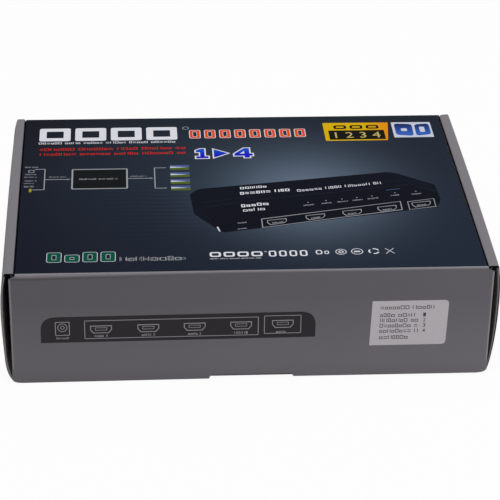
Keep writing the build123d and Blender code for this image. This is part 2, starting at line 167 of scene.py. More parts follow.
# fixed holds the shader's own sockets, and paint(place) gives the wires that vary.
def makeMaterial(name, fixed, paint):
    made = bpy.data.materials.new(name)
    made.use_nodes = True
    tree = made.node_tree
    shader = tree.nodes["Principled BSDF"]
    for socket, value in fixed.items():
        shader.inputs[socket].default_value = value
    place = Wire(tree.nodes.new("ShaderNodeTexCoord").outputs["Object"])
    for socket, wire in paint(place).items():
        tree.links.new(wire.socket, shader.inputs[socket])
    return made


# How glossy a finish is, on the shader's own socket.
def sheen(level):
    return {"Specular IOR Level": level}


flute = {"pitch": 2.0, "samples": 8, "shows": 0.35, "fibres": 1600, "reliefDepth": 0.00004}
boardMake = {"thickness": 1.0, "inkRoom": 0.045, "liner": 0.17, "web": 0.12, "glue": 0.01, "trim": 0.005}
paperTop = boardMake["thickness"] - boardMake["inkRoom"]
pressMake = {"clouds": 38, "dots": 2300, "dotShare": 0.3, "rough": 0.44, "roughCloud": 0.12}


# The flutes' washboard: a sine of the place along one axis, with fine fibre noise on it.
def ripples(place, along, strength=0.18):
    wave = (place.axis(along) * (2 * np.pi / (flute["pitch"] * mm))).sine() * 0.5 + 0.5
    relief = wave * flute["shows"] + place.noise(flute["fibres"], 4) * (1 - flute["shows"])
    return relief.bump(strength, flute["reliefDepth"])


# Flat print that clouds a little and has the dots of its screen.
def printCloud(place, dark, light):
    press = pressMake
    clouds = place.noise(press["clouds"], 4) * (1 - press["dotShare"])
    return (clouds + place.noise(press["dots"], 2) * press["dotShare"]).blend(dark, light)


# Gloss that clouds as the print does, and is duller where it is worn.
def printRoughness(place, worn=0.0):
    return worn + place.noise(pressMake["clouds"]) * pressMake["roughCloud"] + pressMake["rough"]


# Print between two colours, over flutes that repeat along one axis.
def printedPaint(dark, light, along):
    return lambda place: {"Base Color": printCloud(place, dark, light), "Roughness": printRoughness(place),
                          "Normal": ripples(place, along)}


greyInk, greyShades = tone(123, 120, 125), (0.93, 1.07)
greyTones = [shade(greyInk, factor) for factor in greyShades]


# Print between two shades of the grey ink.
def greyMaterial(name, level, low, high, along="Z"):
    return makeMaterial(name, sheen(level), printedPaint(shade(greyInk, low), shade(greyInk, high), along))


greyPrint = {way: greyMaterial("greyPrint" + way, 0.18, *greyShades, way) for way in "YZ"}
navyPrint = makeMaterial("navyPrint", sheen(0.06), printedPaint(tone(22, 26, 35), tone(29, 35, 45), "Z"))
# The front's painted light and shade, and the wear of its fold.
frontShadeAndWear = {"foot": (48, 8), "upper": 0.75, "footPaintedLight": 0.27, "acrossPaintedLight": 0.14, "across": (-60, 120),
             "foldPaintedHighlight": 1.13, "foldStart": 62.9, "foldEnd": 63.85, "leftDrop": 1.2, "leftSpan": (-20, -112),
             "rubbedAndHighlit": 0.28, "rubbedAndHighlitHalf": 120, "creaseShade": 0.32, "creaseShadeAt": 62.5, "creaseShadeHalf": 0.55,
             "foldRough": 0.06, "rubGrain": 700, "grainShare": 0.5}


# The front's grey print with painted light and shade: a painted highlight where it turns over the fold,
# painted shade just under it, and painted light that lightens it to the foot and to the right; the fold is
# paler towards its ends, partly rubbed and partly a painted highlight, and a thin line on the left is painted
# dark, as painted shade in a crease.
def frontPrintAndLight(place):
    shadeAndWear = frontShadeAndWear
    left = place.ramp("X", *shadeAndWear["leftSpan"])
    height = place.axis("Z") + left * (shadeAndWear["leftDrop"] * mm)
    turned = ((height - shadeAndWear["foldStart"] * mm) / ((shadeAndWear["foldEnd"] - shadeAndWear["foldStart"]) * mm)).clamped()
    # Painted light: the flat front is darker high up and lighter towards the foot and to the right.
    flatPaintedLight = place.ramp("Z", *shadeAndWear["foot"]) * shadeAndWear["footPaintedLight"]
    flatPaintedLight = flatPaintedLight + place.ramp("X", *shadeAndWear["across"]) * shadeAndWear["acrossPaintedLight"]
    # The fold is paler towards its ends: partly rubbed, partly a painted highlight.
    ends = (place.axis("X") / (shadeAndWear["rubbedAndHighlitHalf"] * mm)) ** 2.0
    grain = place.noise(shadeAndWear["rubGrain"], 4, 0.6, (0.3, 1, 1)) * shadeAndWear["grainShare"]
    rubbedAndHighlit = turned * (grain + ends * (1 - shadeAndWear["grainShare"])) * shadeAndWear["rubbedAndHighlit"]
    # Over the fold the print is painted lighter, a painted highlight; under it, painted shade.
    level = (1.0 - turned) * (flatPaintedLight + shadeAndWear["upper"]) + turned * shadeAndWear["foldPaintedHighlight"] + rubbedAndHighlit
    # A thin dark line on the left: painted shade in a crease.
    line = (height - shadeAndWear["creaseShadeAt"] * mm) / (shadeAndWear["creaseShadeHalf"] * mm)
    creaseShade = (line * line).decay() * left * shadeAndWear["creaseShade"]
    return {"Base Color": (level * (1.0 - creaseShade)).dim(printCloud(place, *greyTones)),
            "Roughness": printRoughness(place, turned * shadeAndWear["foldRough"]), "Normal": ripples(place, "Z")}


frontPrintPaintedLight = makeMaterial("frontPrintPaintedLight", sheen(0.18), frontPrintAndLight)
# Paler grey on the ear creases: partly paper whitened at the fold, partly a painted highlight; the right
# side's creases are painted brighter still.
creaseWhiteningAndHighlight = {-1: greyMaterial("creaseWhiteningAndHighlightLeft", 0.25, 1.25, 1.75),
                1: greyMaterial("creaseWhiteningAndHighlightRight", 0.25, 1.5, 2.1)}
# Pale grey on the cut ends: a painted highlight that makes them look lit.
endHighlightPrint = greyMaterial("endHighlightPrint", 0.2, 1.1, 1.5)
# Nearly black on the seam beside the lid and on rims: painted shade of the gaps.
seamShadePrint = makeMaterial("seamShadePrint", sheen(0.02), printedPaint(tone(7, 8, 13), tone(12, 13, 20), "Y"))
lidTone = {"half": (120, 88), "ground": (0.0089, 0.0114, 0.0212), "across": (0.0042, 0.0073, 0.0115),
           "deep": (-0.0018, -0.004, -0.0076), "mottle": 0.14, "grain": 0.16,
           "glows": [((-20.1, 35.2), (110, 87), (0.0094, 0.0179, 0.0269)),
                     ((34.6, -6.8), (40.3, 43.8), (0.12, 0.156, 0.209))],
           "pressed": ((-48, -25), (27, 27)), "pressPitch": 4.4, "pressDrift": 5.0, "pressDepth": 0.17,
           "scales": {"mottle": 60, "drift": 45, "grain": 2100, "gloss": 30}, "rough": 0.5,
           "roughSpread": 0.1, "flutes": 0.12}


# How near a place is to a middle: e to the power of minus the squared distance over the reach.
def bell(place, middle, reach):
    far = [((place.axis(name) - middle[n] * mm) / (reach[n] * mm)) ** 2.0 for n, name in enumerate("XY")]
    return (far[0] + far[1]).decay()


# Dark blue, lightened to the right and to the front by painted light, a glow about each middle, and faint
# marks where the board was pressed.
def lidPaint(place):
    p, scales = lidTone, lidTone["scales"]
    # Painted light: the ground lightens to the right and to the front.
    lit = (place.axis("X") / (p["half"][0] * mm)).glow(p["across"], p["ground"])
    lit = (place.axis("Y") / (p["half"][1] * mm)).glow(p["deep"], lit)
    mottle = place.noise(scales["mottle"], 5) * p["mottle"] + (1 - p["mottle"] / 2)
    for middle, reach, colour in p["glows"]:
        lit = (bell(place, middle, reach) * mottle).glow(colour, lit)
    waves = place.axis("Y") * (2 * np.pi / (p["pressPitch"] * mm))
    waves = (waves + place.noise(scales["drift"]) * p["pressDrift"]).sine()
    marks = waves * bell(place, *p["pressed"]) * p["pressDepth"]
    grained = marks + place.noise(scales["grain"], 2) * p["grain"] + (1 - p["grain"] / 2)
    return {"Base Color": grained.dim(lit),
            "Roughness": place.noise(scales["gloss"]) * p["roughSpread"] + p["rough"],
            "Normal": ripples(place, "Y", p["flutes"])}


lidPrint = makeMaterial("lidPrint", sheen(0.015), lidPaint)


paperMake = {"pulled": (1, 0.22, 1), "flecks": 1500, "fleckShare": 0.2, "rough": 0.82, "roughSpread": 0.1,
             "relief": (0.35, 0.00005), "linerScale": 420}


# Unprinted paper's fibres, long across the grain.
def fibres(place, scale):
    return place.noise(scale, 5, 0.7, paperMake["pulled"])


# Unprinted paper: long fibres and short flecks between two tints.
def fibreMaterial(name, dark, light, scale=paperMake["linerScale"], gloss=0.2):
    def paint(place):
        p = paperMake
        fibre, fleck = fibres(place, scale), place.noise(p["flecks"], 2)
        mixed = fibre * (1 - p["fleckShare"]) + fleck * p["fleckShare"]
        return {"Base Color": mixed.blend((*dark, 1), (*light, 1)),
                "Roughness": fleck * p["roughSpread"] + p["rough"], "Normal": fibre.bump(*p["relief"])}
    return makeMaterial(name, sheen(gloss), paint)


linerTones = (0.5, 0.475, 0.44), (0.65, 0.625, 0.59)
innerLiner = fibreMaterial("innerLiner", *linerTones)
rawEdge = fibreMaterial("rawEdge", (0.27, 0.255, 0.225), (0.39, 0.37, 0.335), 900)
kraftBoard = fibreMaterial("kraftBoard", (0.33, 0.22, 0.125), (0.5, 0.36, 0.22), 300)
leafletPaper = fibreMaterial("leafletPaper", (0.74, 0.74, 0.71), (0.86, 0.86, 0.84), 700, 0.3)
labelPaper = fibreMaterial("labelPaper", (0.66, 0.625, 0.66), (0.76, 0.72, 0.76), 500, 0.3)


baseMake = {"greyUpTo": 0.9, "smoother": -0.3, "flutes": 0.15}


# The base is bare liner inside and printed grey underneath, up to almost its thickness.
def basePaint(place):
    inside = fibres(place, paperMake["linerScale"]).blend(*[(*part, 1) for part in linerTones])
    under = place.axis("Z") < baseMake["greyUpTo"] * mm
    return {"Base Color": under.blend(inside, printCloud(place, *greyTones)),
            "Roughness": under * baseMake["smoother"] + paperMake["rough"],
            "Normal": ripples(place, "Y", baseMake["flutes"])}


baseBoard = makeMaterial("baseBoard", sheen(0.2), basePaint)


inkMake = {"dots": 900, "shades": (0.9, 1.06), "rough": 0.4, "roughSpread": 0.15}


# Flat ink with the mottle of its dots; fade is an axis, two places along it and a second colour.
def inkMaterial(name, colour, gloss, fade=None):
    def paint(place):
        mottle = place.noise(inkMake["dots"], 3)
        ink = mottle.blend(*[shade(colour, factor) for factor in inkMake["shades"]])
        if fade:
            axis, low, high, other = fade
            ink = place.ramp(axis, low, high).blend(ink, other)
        return {"Base Color": ink, "Roughness": mottle * inkMake["roughSpread"] + inkMake["rough"]}
    return makeMaterial(name + "Ink", sheen(gloss), paint)


lidInks = {"white": (234, 235, 243), "orange": (236, 80, 26), "red": (222, 38, 24), "green": (0, 82, 58),
           "black": (6, 7, 1), "cream": (204, 184, 112), "sky": (78, 96, 150), "grass": (84, 104, 36),
           "pale": (212, 216, 234), "soft": (168, 170, 176), "deviceTop": (3, 7, 23),
           "deviceFace": (3, 6, 20), "deviceEnd": (6, 9, 24), "deviceEdge": (30, 35, 50),
           "yellow": (178, 158, 42), "dash": (56, 78, 108), "boxGround": (8, 14, 14)}
fadingInks = {"gold": ((228, 184, 10), ("X", 74, 92, tone(240, 130, 24))),
              "blue": ((24, 24, 196), ("Y", 40, 49, tone(8, 92, 212))),
              "lens": ((56, 104, 194), ("Y", 64, 77, tone(16, 28, 84)))}
frontInks = {"band": (56, 52, 56), "bandLine": (176, 173, 177), "typing": (84, 80, 86),
             "sideYellow": (238, 208, 36), "unitWhite": (214, 214, 216)}
inkGloss = {"lid": 0.015, "front": 0.08}
inks = {name: inkMaterial(name, tone(*colour), inkGloss["lid"]) for name, colour in lidInks.items()}
for name, (colour, fade) in fadingInks.items():
    inks[name] = inkMaterial(name, tone(*colour), inkGloss["lid"], fade)
for name, colour in frontInks.items():
    inks[name] = inkMaterial(name, tone(*colour), inkGloss["front"])
print("print finishes ready")


# Points from three coordinates, each a number or an array.
def at(x, y, z):
    return np.stack(np.broadcast_arrays(np.asarray(x, float), y, z), -1)


# Four-cornered faces between the neighbours in a grid of point numbers.
def faceGrid(ids):
    return np.stack([ids[:-1, :-1], ids[1:, :-1], ids[1:, 1:], ids[:-1, 1:]], -1).reshape(-1, 4)


# Closed sheet between two grids of points; finish is for the upper face, the lower face and the rim.
def slab(upper, lower, finish=(0, 1, 2)):
    rows, columns = upper.shape[:2]
    ids = np.arange(rows * columns).reshape(rows, columns)
    rim = np.concatenate([ids[0, :-1], ids[:-1, -1], ids[-1, :0:-1], ids[:0:-1, 0]])
    ahead, under = np.roll(rim, -1), rows * columns
    side = np.stack([rim, ahead, ahead + under, rim + under], -1)
    faces = [(faceGrid(ids), finish[0]), (faceGrid(ids)[:, ::-1] + under, finish[1]), (side, finish[2])]
    return {"points": np.concatenate([upper.reshape(-1, 3), lower.reshape(-1, 3)]), "faces": faces}


# An outline in u and v carried from height low to height high along w.
def prism(outline, low, high, place, finish=(0, 1, 2)):
    count = len(outline)
    ids, ahead = np.arange(count), np.roll(np.arange(count), -1)
    side = np.stack([ahead, ids, ids + count, ahead + count], -1)
    points = np.concatenate([place(*outline.T, high), place(*outline.T, low)])
    return {"points": points, "faces": [(ids[None], finish[0]), (ids[None, ::-1] + count, finish[1]),
                                        (side, finish[2])]}


# The band between two outlines of as many points, closed all round.
def ring(outer, inner, low, high, place, finish=0):
    loops = [place(*outer.T, high), place(*inner.T, high), place(*inner.T, low), place(*outer.T, low)]
    ids = np.arange(4 * len(outer)).reshape(4, -1)
    ids = np.vstack([ids, ids[:1]])
    return {"points": np.concatenate(loops), "faces": [(faceGrid(np.hstack([ids, ids[:, :1]])), finish)]}


# The volume inside a shell, below 0 where its faces point inwards.
def enclosed(shell):
    points = shell["points"] - shell["points"].mean(0)
    total = 0.0
    for ids, finish in shell["faces"]:
        corners = points[ids]
        spread = np.cross(corners[:, :1] + 0 * corners[:, 1:-1], corners[:, 1:-1])
        total += (spread * corners[:, 2:]).sum()
    return total


# Joins shells into one mesh object, each turned so that its faces point outwards.
def makePiece(name, shells, finishes, body, replaced=(), smooth=32):
    points, faces, slots, start = [], [], [], 0
    for shell in shells:
        turn = -1 if enclosed(shell) < 0 else 1
        for ids, finish in shell["faces"]:
            faces += (ids[:, ::turn] + start).tolist()
            slots.append(np.broadcast_to(finish, len(ids)))
        points.append(shell["points"])
        start += len(shell["points"])
    mesh = bpy.data.meshes.new(name)
    mesh.from_pydata((np.concatenate(points) * mm).tolist(), [], faces)
    for finish in finishes:
        mesh.materials.append(finish)
    mesh.polygons.foreach_set("material_index", np.concatenate(slots).astype(np.int32))
    mesh.polygons.foreach_set("use_smooth", np.ones(len(faces), bool))
    mesh.set_sharp_from_angle(angle=np.radians(smooth))
    mesh.update()
    piece = addObject(name, mesh)
    if body:
        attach(piece, body)
    if replaced:
        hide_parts(*replaced)
    return piece


# Each corner cut by a quadratic curve that starts and ends its reach away; a reach may be a pair.
def rounded(corners, reach, steps=6):
    corners = np.asarray(corners, float)
    given = reach if np.iterable(reach) else [reach] * len(corners)
    reach = np.array([np.broadcast_to(one, 2) for one in given], float)
    before, after = np.roll(corners, 1, 0) - corners, np.roll(corners, -1, 0) - corners
    start = corners + reach[:, :1] * before / np.linalg.norm(before, axis=1, keepdims=True)
    end = corners + reach[:, 1:] * after / np.linalg.norm(after, axis=1, keepdims=True)
    t = np.linspace(0, 1, steps)[None, :, None]
    curve = (1 - t) ** 2 * start[:, None] + 2 * t * (1 - t) * corners[:, None] + t ** 2 * end[:, None]
    kept = [curve[n] if reach[n, 0] > 0 else corners[n:n + 1] for n in range(len(corners))]
    return np.concatenate(kept)


# A box's outline, its corners rounded where radius says.
def bar(left, bottom, right, top, radius=0.0, steps=6):
    return rounded([(left, bottom), (right, bottom), (right, top), (left, top)], radius, steps)


# Points of an arc, its angles in degrees.
def bow(middleX, middleY, radius, start, end, count):
    angle = np.radians(np.linspace(start, end, count))
    return np.stack([middleX + radius * np.cos(angle), middleY + radius * np.sin(angle)], -1)


# The wavy web between the liners: its height is a cosine of v, ruled along u from edge to edge.
def flutedCore(outline, low, high, place):
    a, b = outline, np.roll(outline, -1, 0)
    span = a[:, 1].max() - a[:, 1].min()
    count = int(span / flute["pitch"] * flute["samples"])
    v = np.linspace(a[:, 1].min() + boardMake["trim"], a[:, 1].max() - boardMake["trim"], count)[:, None]
    crossed = (np.minimum(a[:, 1], b[:, 1]) <= v) & (v < np.maximum(a[:, 1], b[:, 1]))
    rise = np.where(a[:, 1] == b[:, 1], 1, b[:, 1] - a[:, 1])
    u = np.sort(np.where(crossed, a[:, 0] + (v - a[:, 1]) / rise * (b[:, 0] - a[:, 0]), np.inf), 1)
    swing = (high - low - boardMake["web"]) / 2 - boardMake["glue"]
    w = (low + high) / 2 + swing * np.cos(2 * np.pi * v / flute["pitch"])
    number = crossed.sum(1)
    shells = []
    for rows in np.split(np.arange(count), np.flatnonzero(np.diff(number)) + 1):
        for pair in range(number[rows[0]] // 2 if len(rows) > 1 else 0):
            ends = u[rows, 2 * pair:2 * pair + 2]
            web = [place(ends, v[rows], w[rows] + side * boardMake["web"] / 2) for side in (1, -1)]
            shells.append(slab(*web, (2, 2, 2)))
    return shells


# Carries u and v in a flat panel and the height w above it: w runs along the axis, from the plane,
# up it or down it as way says.
def onPlane(axis, plane, way=1):
    def place(u, v, w):
        ahead = plane + way * w
        return at(*{"X": (ahead, u, v), "Y": (u, ahead, v), "Z": (u, v, ahead)}[axis])
    return place


# Outer liner, fluted core and inner liner of one flat panel.
def board(name, outline, place, finishes, body, replaced):
    liner = boardMake["liner"]
    shells = [prism(outline, paperTop - liner, paperTop, place, (0, 2, 2)),
              prism(outline, 0, liner, place, (2, 1, 2))]
    shells += flutedCore(outline, liner, paperTop - liner, place)
    return makePiece(name, shells, finishes, body, replaced)


lid = {"left": -119.05, "rightFront": 118.6, "rightBack": 117.85, "foldHalf": 119.05, "underside": 63.0,
       "front": -87.5, "back": 87.75}
frontPanel = {"inside": -87.95, "half": 122.5, "ridge": 121.5, "shoulder": 61.2, "slant": 0.1,
              "foldHeight": 62.55, "feet": {-1: (0.0, 0.45), 1: (0.9, 1.0)},
              "footRound": {-1: (2.3, 5.6), 1: (3.0, 6.5)}, "footSteps": 9, "notchHalf": 21.0,
              "notchSlope": 0.9, "notchTop": 2.4, "creaseHalf": 20.85, "creaseTop": 3.3, "earFoot": 8.5}
onLid, onFront = onPlane("Z", lid["underside"]), onPlane("Y", frontPanel["inside"], -1)
lidOutline = np.array([(lid["left"], lid["front"]), (lid["rightFront"], lid["front"]),
                       (lid["rightBack"], lid["back"]), (lid["left"], lid["back"])])
board("lid_panel_board", lidOutline, onLid, (lidPrint, innerLiner, rawEdge), "lid", ["lid_panel"])


# One half of the front panel from the top down: the foot slopes from its outer end to the notch.
def frontHalf(side):
    p = frontPanel
    slant = lid["foldHalf"] + (p["half"] - lid["foldHalf"]) * p["slant"]
    outer, inner = p["feet"][side]
    corner = rounded([(p["half"], p["earFoot"]), (p["half"], outer), (p["notchHalf"], inner)],
                     (0, p["footRound"][side], 0), p["footSteps"])[1:-1]
    return np.array([(slant, p["foldHeight"]), (p["half"], p["shoulder"]), (p["ridge"], p["shoulder"]),
                     (p["ridge"], p["earFoot"]), (p["half"], p["earFoot"]), *corner,
                     (p["notchHalf"] + p["notchSlope"], inner), (p["notchHalf"], p["notchTop"]),
                     (p["creaseHalf"], p["notchTop"]), (p["creaseHalf"], p["creaseTop"])]) * (side, 1)


board("front_panel_board", np.concatenate([frontHalf(1), frontHalf(-1)[::-1]]), onFront,
      (frontPrintPaintedLight, innerLiner, endHighlightPrint), "lid_front", ["lid_front_panel"])
creaseColumns = 9  # points across a fold


# A fold: its two paths in y and z carried across x, as wide at each point as half says. A path has
# one point to a row, or one to each point of the grid.
def crease(name, outer, inner, half, finishes, slot="grey_printed_board", finish=(0, 1, 2),
           columns=creaseColumns):
    x = np.linspace(-1, 1, columns)[None] * np.broadcast_to(half, len(outer))[:, None]
    sheets = [at(x, *(path[..., n].reshape(len(x), -1) for n in (0, 1))) for path in (outer, inner)]
    return makePiece(name, [slab(*sheets, finish)], finishes, None)


frontFold = {"round": 1.405, "insideRound": 0.45, "steps": 19, "columns": 31, "square": 3.4, "leftRound": 1.3,
             "leftGrowth": -1.6, "leftStart": -0.3, "footHalf": 119.38}


# The fold's section is a superellipse, y and z from powers of an angle's cosine and sine, round at the
# left end and squarer to the right.
def foldPath(radius, sharp):
    fold = frontFold
    angle = np.radians(np.linspace(90, 180, fold["steps"]))[:, None]
    across = np.linspace(-1, 1, fold["columns"])
    left = np.clip(across * fold["leftGrowth"] + fold["leftStart"], 0, 1)[None]
    power = 2 / (fold["square"] - fold["leftRound"] * left) if sharp else 1 + 0 * left
    y = lid["front"] - radius * np.abs(np.cos(angle)) ** power
    return np.stack([y, frontPanel["foldHeight"] + radius * np.abs(np.sin(angle)) ** power], -1)


foldHalves = np.linspace(lid["foldHalf"], frontFold["footHalf"], frontFold["steps"])
frontFoldPiece = crease("front_fold", foldPath(frontFold["round"], True),
                        foldPath(frontFold["insideRound"], False), foldHalves,
                        (frontPrintPaintedLight, innerLiner, rawEdge), columns=frontFold["columns"])
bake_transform(frontFoldPiece)

# The back fold is grey on the back wall's side and dark above, and narrows to the wall.
backFold = {"middle": (87.75, 62.7), "round": 1.255, "insideRound": 0.3, "steps": 15, "greyRows": 6,
            "narrowed": 0.9}
turned = [bow(*backFold["middle"], radius, 0, 90, backFold["steps"])
          for radius in (backFold["round"], backFold["insideRound"])]
isGrey = np.repeat(np.arange(backFold["steps"] - 1) < backFold["greyRows"], creaseColumns - 1)
foldHalves = lid["foldHalf"] - backFold["narrowed"] * np.linspace(1, 0, backFold["steps"]) ** 2
backFoldPiece = crease("back_fold", *turned, foldHalves, (navyPrint, innerLiner, rawEdge, greyPrint["Z"]),
                       "dark_printed_board", (np.where(isGrey, 3, 0), 1, 2))
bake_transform(backFoldPiece)

tongue = {"inside": -87.8, "rootHalf": 20.85, "tipHalf": 17.9, "root": 3.3, "tip": 12.8, "tipRound": 4.0}
greyBoard = (greyPrint["Z"], innerLiner, rawEdge)
tongueOutline = rounded([(-tongue["rootHalf"], tongue["root"]), (tongue["rootHalf"], tongue["root"]),
                         (tongue["tipHalf"], tongue["tip"]), (-tongue["tipHalf"], tongue["tip"])],
                        (0, 0, tongue["tipRound"], tongue["tipRound"]))
board("lock_tongue_board", tongueOutline, onPlane("Y", tongue["inside"]), greyBoard, "lock_tongue",
      ["lock_tongue"])

tongueFold = {"middle": (-87.875, 3.3), "reach": (1.03, 0.9), "insideReach": (0.075, 0.25), "steps": 25,
              "half": 20.8}
turn = bow(0, 0, 1, 180, 360, tongueFold["steps"])
tongueFoldPiece = crease("tongue_fold_crease", turn * tongueFold["reach"] + tongueFold["middle"],
                         turn * tongueFold["insideReach"] + tongueFold["middle"], tongueFold["half"],
                         (greyPrint["Z"], innerLiner, greyPrint["Z"]))
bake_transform(tongueFoldPiece)

ear = {"inside": 121.5, "root": -87.95, "foot": 8.5, "head": 61.2, "swing": (88.55, 63.5, 176.1),
       "edgeFoot": 10.5, "edgeSteps": 24, "tipReach": 0.25, "tipRound": 1.9, "bends": (0.955, 0.06),
       "bendSteps": 9, "rows": 12}


# The inner edge is part of the circle about the lid's hinge that the strip's end clears.
def earOutline():
    z = np.linspace(ear["head"], ear["edgeFoot"], ear["edgeSteps"])
    middleY, middleZ, radius = ear["swing"]
    edge = np.stack([middleY - np.sqrt(radius ** 2 - (z - middleZ) ** 2), z], -1)
    tip = (edge[-1, 0] + ear["tipReach"], ear["foot"])
    corner = rounded([edge[-1], tip, (ear["root"], ear["foot"])], (0, ear["tipRound"], 0))
    return np.concatenate([[(ear["root"], ear["head"])], edge, corner[1:]])


sides = ((-1, "left"), (1, "right"))
for side, name in sides:
    board(name + "_ear_board", earOutline(), onPlane("X", side * ear["inside"], side),
          (greyPrint["Z"], innerLiner, greyPrint["Z"]), "lid_front", [name + "_ear"])
    z = np.linspace(ear["foot"], ear["head"], ear["rows"])[None]
    arcs = [bow(ear["inside"], ear["root"], radius, 0, -90, ear["bendSteps"]) for radius in ear["bends"]]
    makePiece(name + "_ear_crease", [slab(*[at(side * arc[:, :1], arc[:, 1:], z) for arc in arcs])],
              (creaseWhiteningAndHighlight[side], innerLiner, creaseWhiteningAndHighlight[side]), "lid_front")
print("lid, folds and front panel made")

sideRoll = {"shares": (0, 0.135, 0.31, 0.6, 1), "pushes": (-2.86, -0.308, 1.32, 2.2, 0), "half": 124.9,
            "wallTop": 63.0, "wallEnd": 62.6, "wallSteps": 24, "turnStart": 8, "turnSteps": 9,
            "depthSteps": 31, "stripInner": 119.2, "outerRound": 1.25, "innerRound": 1.4,
            "front": -87.35, "back": 89.02, "outerLayer": {-1: (0.2, 0.6), 1: (0.36, 0.6)},
            "outerLayerSteps": 12, "coreDepth": 0.77, "depth": 0.95, "shadedSeamFaces": {-1: 6, 1: 4},
            "corner": {-1: (1.2, 1.0), 1: (2.6, 0.7)}, "outerCut": {-1: 0.0, 1: 1.9},
            "outerCutReach": (0.6, 1.8), "outerCutPower": 24, "footCut": {-1: 0.0, 1: 4.0}, "footCutTop": 4,
            "bow": 0.45, "bowPower": 6, "narrowed": {-1: 0.95, 1: 0.0}, "narrowedPower": 8,
            "narrowedEnd": 0.92, "pinch": {-1: (0.0, 1.3), 1: (1.15, 0.0)}, "pinchReach": 1.6,
            "pinchLow": 12, "pinchFoot": 6, "pinchPower": 8, "fuller": {-1: 1.7, 1: 0.3}, "fullAt": 5.0,
            "lean": {-1: 0.0, 1: 0.45}}
wallCurve = np.polyfit(np.array(sideRoll["shares"]) * sideRoll["wallTop"],
                       sideRoll["half"] + np.array(sideRoll["pushes"]), 4)


# Outer wall as a quartic of its height, a turn over the top edge, the strip and the turn down
# inside: points and outward normals in x and z, for the right side, and how many are the wall's.
def rollPath():
    s = sideRoll
    top = s["wallTop"] + paperTop
    z = np.linspace(0, s["wallEnd"], s["wallSteps"])
    wall = np.stack([np.polyval(wallCurve, z), z], -1)
    slope = np.polyval(np.polyder(wallCurve), z)
    wallNormal = np.stack([np.ones_like(z), -slope], -1) / np.sqrt(1 + slope ** 2)[:, None]
    points, normals = [wall], [wallNormal]
    for edge, inward, radius, start, end in ((s["half"], -1, s["outerRound"], s["turnStart"], 90),
                                             (s["stripInner"], 1, s["innerRound"], 90, 180)):
        normal = bow(0, 0, 1, start, end, s["turnSteps"])
        points.append(normal * radius + (edge + inward * radius, top - radius))
        normals.append(normal)
    return np.concatenate(points), np.concatenate(normals), len(wall)


# Shares of the depth, closer towards both ends: half of one minus the cosine of a half turn's steps.
def rollShares():
    return (1 - np.cos(np.linspace(0, np.pi, sideRoll["depthSteps"]))) / 2


# How far the wall stands out near the top: a half sine along the depth, less a power of the depth's
# share that narrows the back. Everywhere: a swelling that is fullest near the foot, less a pinch that
# falls off from both ends and is gone at the strip and at the foot. The strip's inner side leans
# outwards by the square of the depth's share.
def sag(side, x, y, z):
    s = sideRoll
    reach = np.clip((x - s["stripInner"]) / (s["half"] - s["stripInner"]), 0, 1)
    high = np.clip(z / s["wallTop"], 0, 1)
    share = np.clip((y - s["front"]) / (s["back"] - s["front"]), 0, 1)
    ends = np.exp((s["front"] - y) / s["pinchReach"]) + np.exp((y - s["back"]) / s["pinchReach"])
    level, low = s["pinch"][side]
    pinch = (level + low * np.exp(-z / s["pinchLow"])) * ends * (1 - high ** s["pinchPower"])
    pinch = pinch * (1 - np.exp(-z / s["pinchFoot"]))
    rise = high * s["wallTop"] / s["fullAt"]
    swelling = s["fuller"][side] * rise * np.exp(1 - rise)
    narrowed = s["narrowed"][side] * np.minimum(share, s["narrowedEnd"]) ** s["narrowedPower"]
    bowed = (s["bow"] * np.sin(np.pi * share) - narrowed) * high ** s["bowPower"]
    return reach * (bowed - pinch + swelling) - (1 - reach) * s["lean"][side] * share ** 2


# The path, offset inwards, carried along y. Its back is cut off by a slope at the strip's inner side
# and by a rounding at its outer side, and its front by the square of the nearness to the foot.
def rollGrid(side, offset):
    s = sideRoll
    path, normal, walls = rollPath()
    x, z = (path - normal * np.reshape(offset, (-1, 1))).T
    (corner, slope), (start, reach) = s["corner"][side], s["outerCutReach"]
    outermost = np.clip((path[:, 0] - s["half"] + start) / reach, 0, 1)
    outermost = outermost * (path[:, 1] / path[:, 1].max()) ** s["outerCutPower"]
    cut = slope * np.clip(corner - (path[:, 0] - s["stripInner"]), 0, None) + s["outerCut"][side] * outermost
    foot = s["footCut"][side] * np.clip(1 - path[:, 1] / s["footCutTop"], 0, 1) ** 2
    front, back = s["front"] + foot, s["back"] - cut
    y = front + rollShares()[:, None] * (back - front)
    return at(side * (x + sag(side, x, y, z)), y, z)


# Three layers: the printed outside, the raw middle and the inner liner. The wall is dark and the strip above
# it grey; the seam beside the lid and the rims are painted nearly black, as painted shade in the gaps, and
# the wall's front end pale grey, as a painted highlight.
strip, inside, raw, wall, seamShade, end = range(6)
rollFinishes = greyPrint["Y"], innerLiner, rawEdge, navyPrint, seamShadePrint, endHighlightPrint
for side, name in sides:
    s = sideRoll
    path, normal, walls = rollPath()
    face, rows = np.arange(len(path) - 1), s["depthSteps"] - 1
    outside = np.where(face < len(face) - s["shadedSeamFaces"][side], strip, seamShade)
    outside = np.where(face < walls - 1, wall, outside)
    outer = np.interp(np.arange(len(path)), (walls, walls + s["outerLayerSteps"]), s["outerLayer"][side])
    # Rims: the wall's front end gets the pale painted highlight, the rest the nearly black painted shade.
    ends = np.full(2 * (len(face) + rows), seamShade)
    ends[:walls - 1] = end
    depths = [rollGrid(side, offset) for offset in (0, outer, s["coreDepth"], s["depth"])]
    layers = [slab(*depths[n:n + 2], finish) for n, finish in enumerate(
        [(np.tile(outside, rows), raw, seamShade), (raw, raw, ends), (seamShade, inside, ends)])]
    makePiece(name + "_side_roll", layers, rollFinishes, "tray",
              replaced=[name + "_outer_wall", name + "_top_strip"])

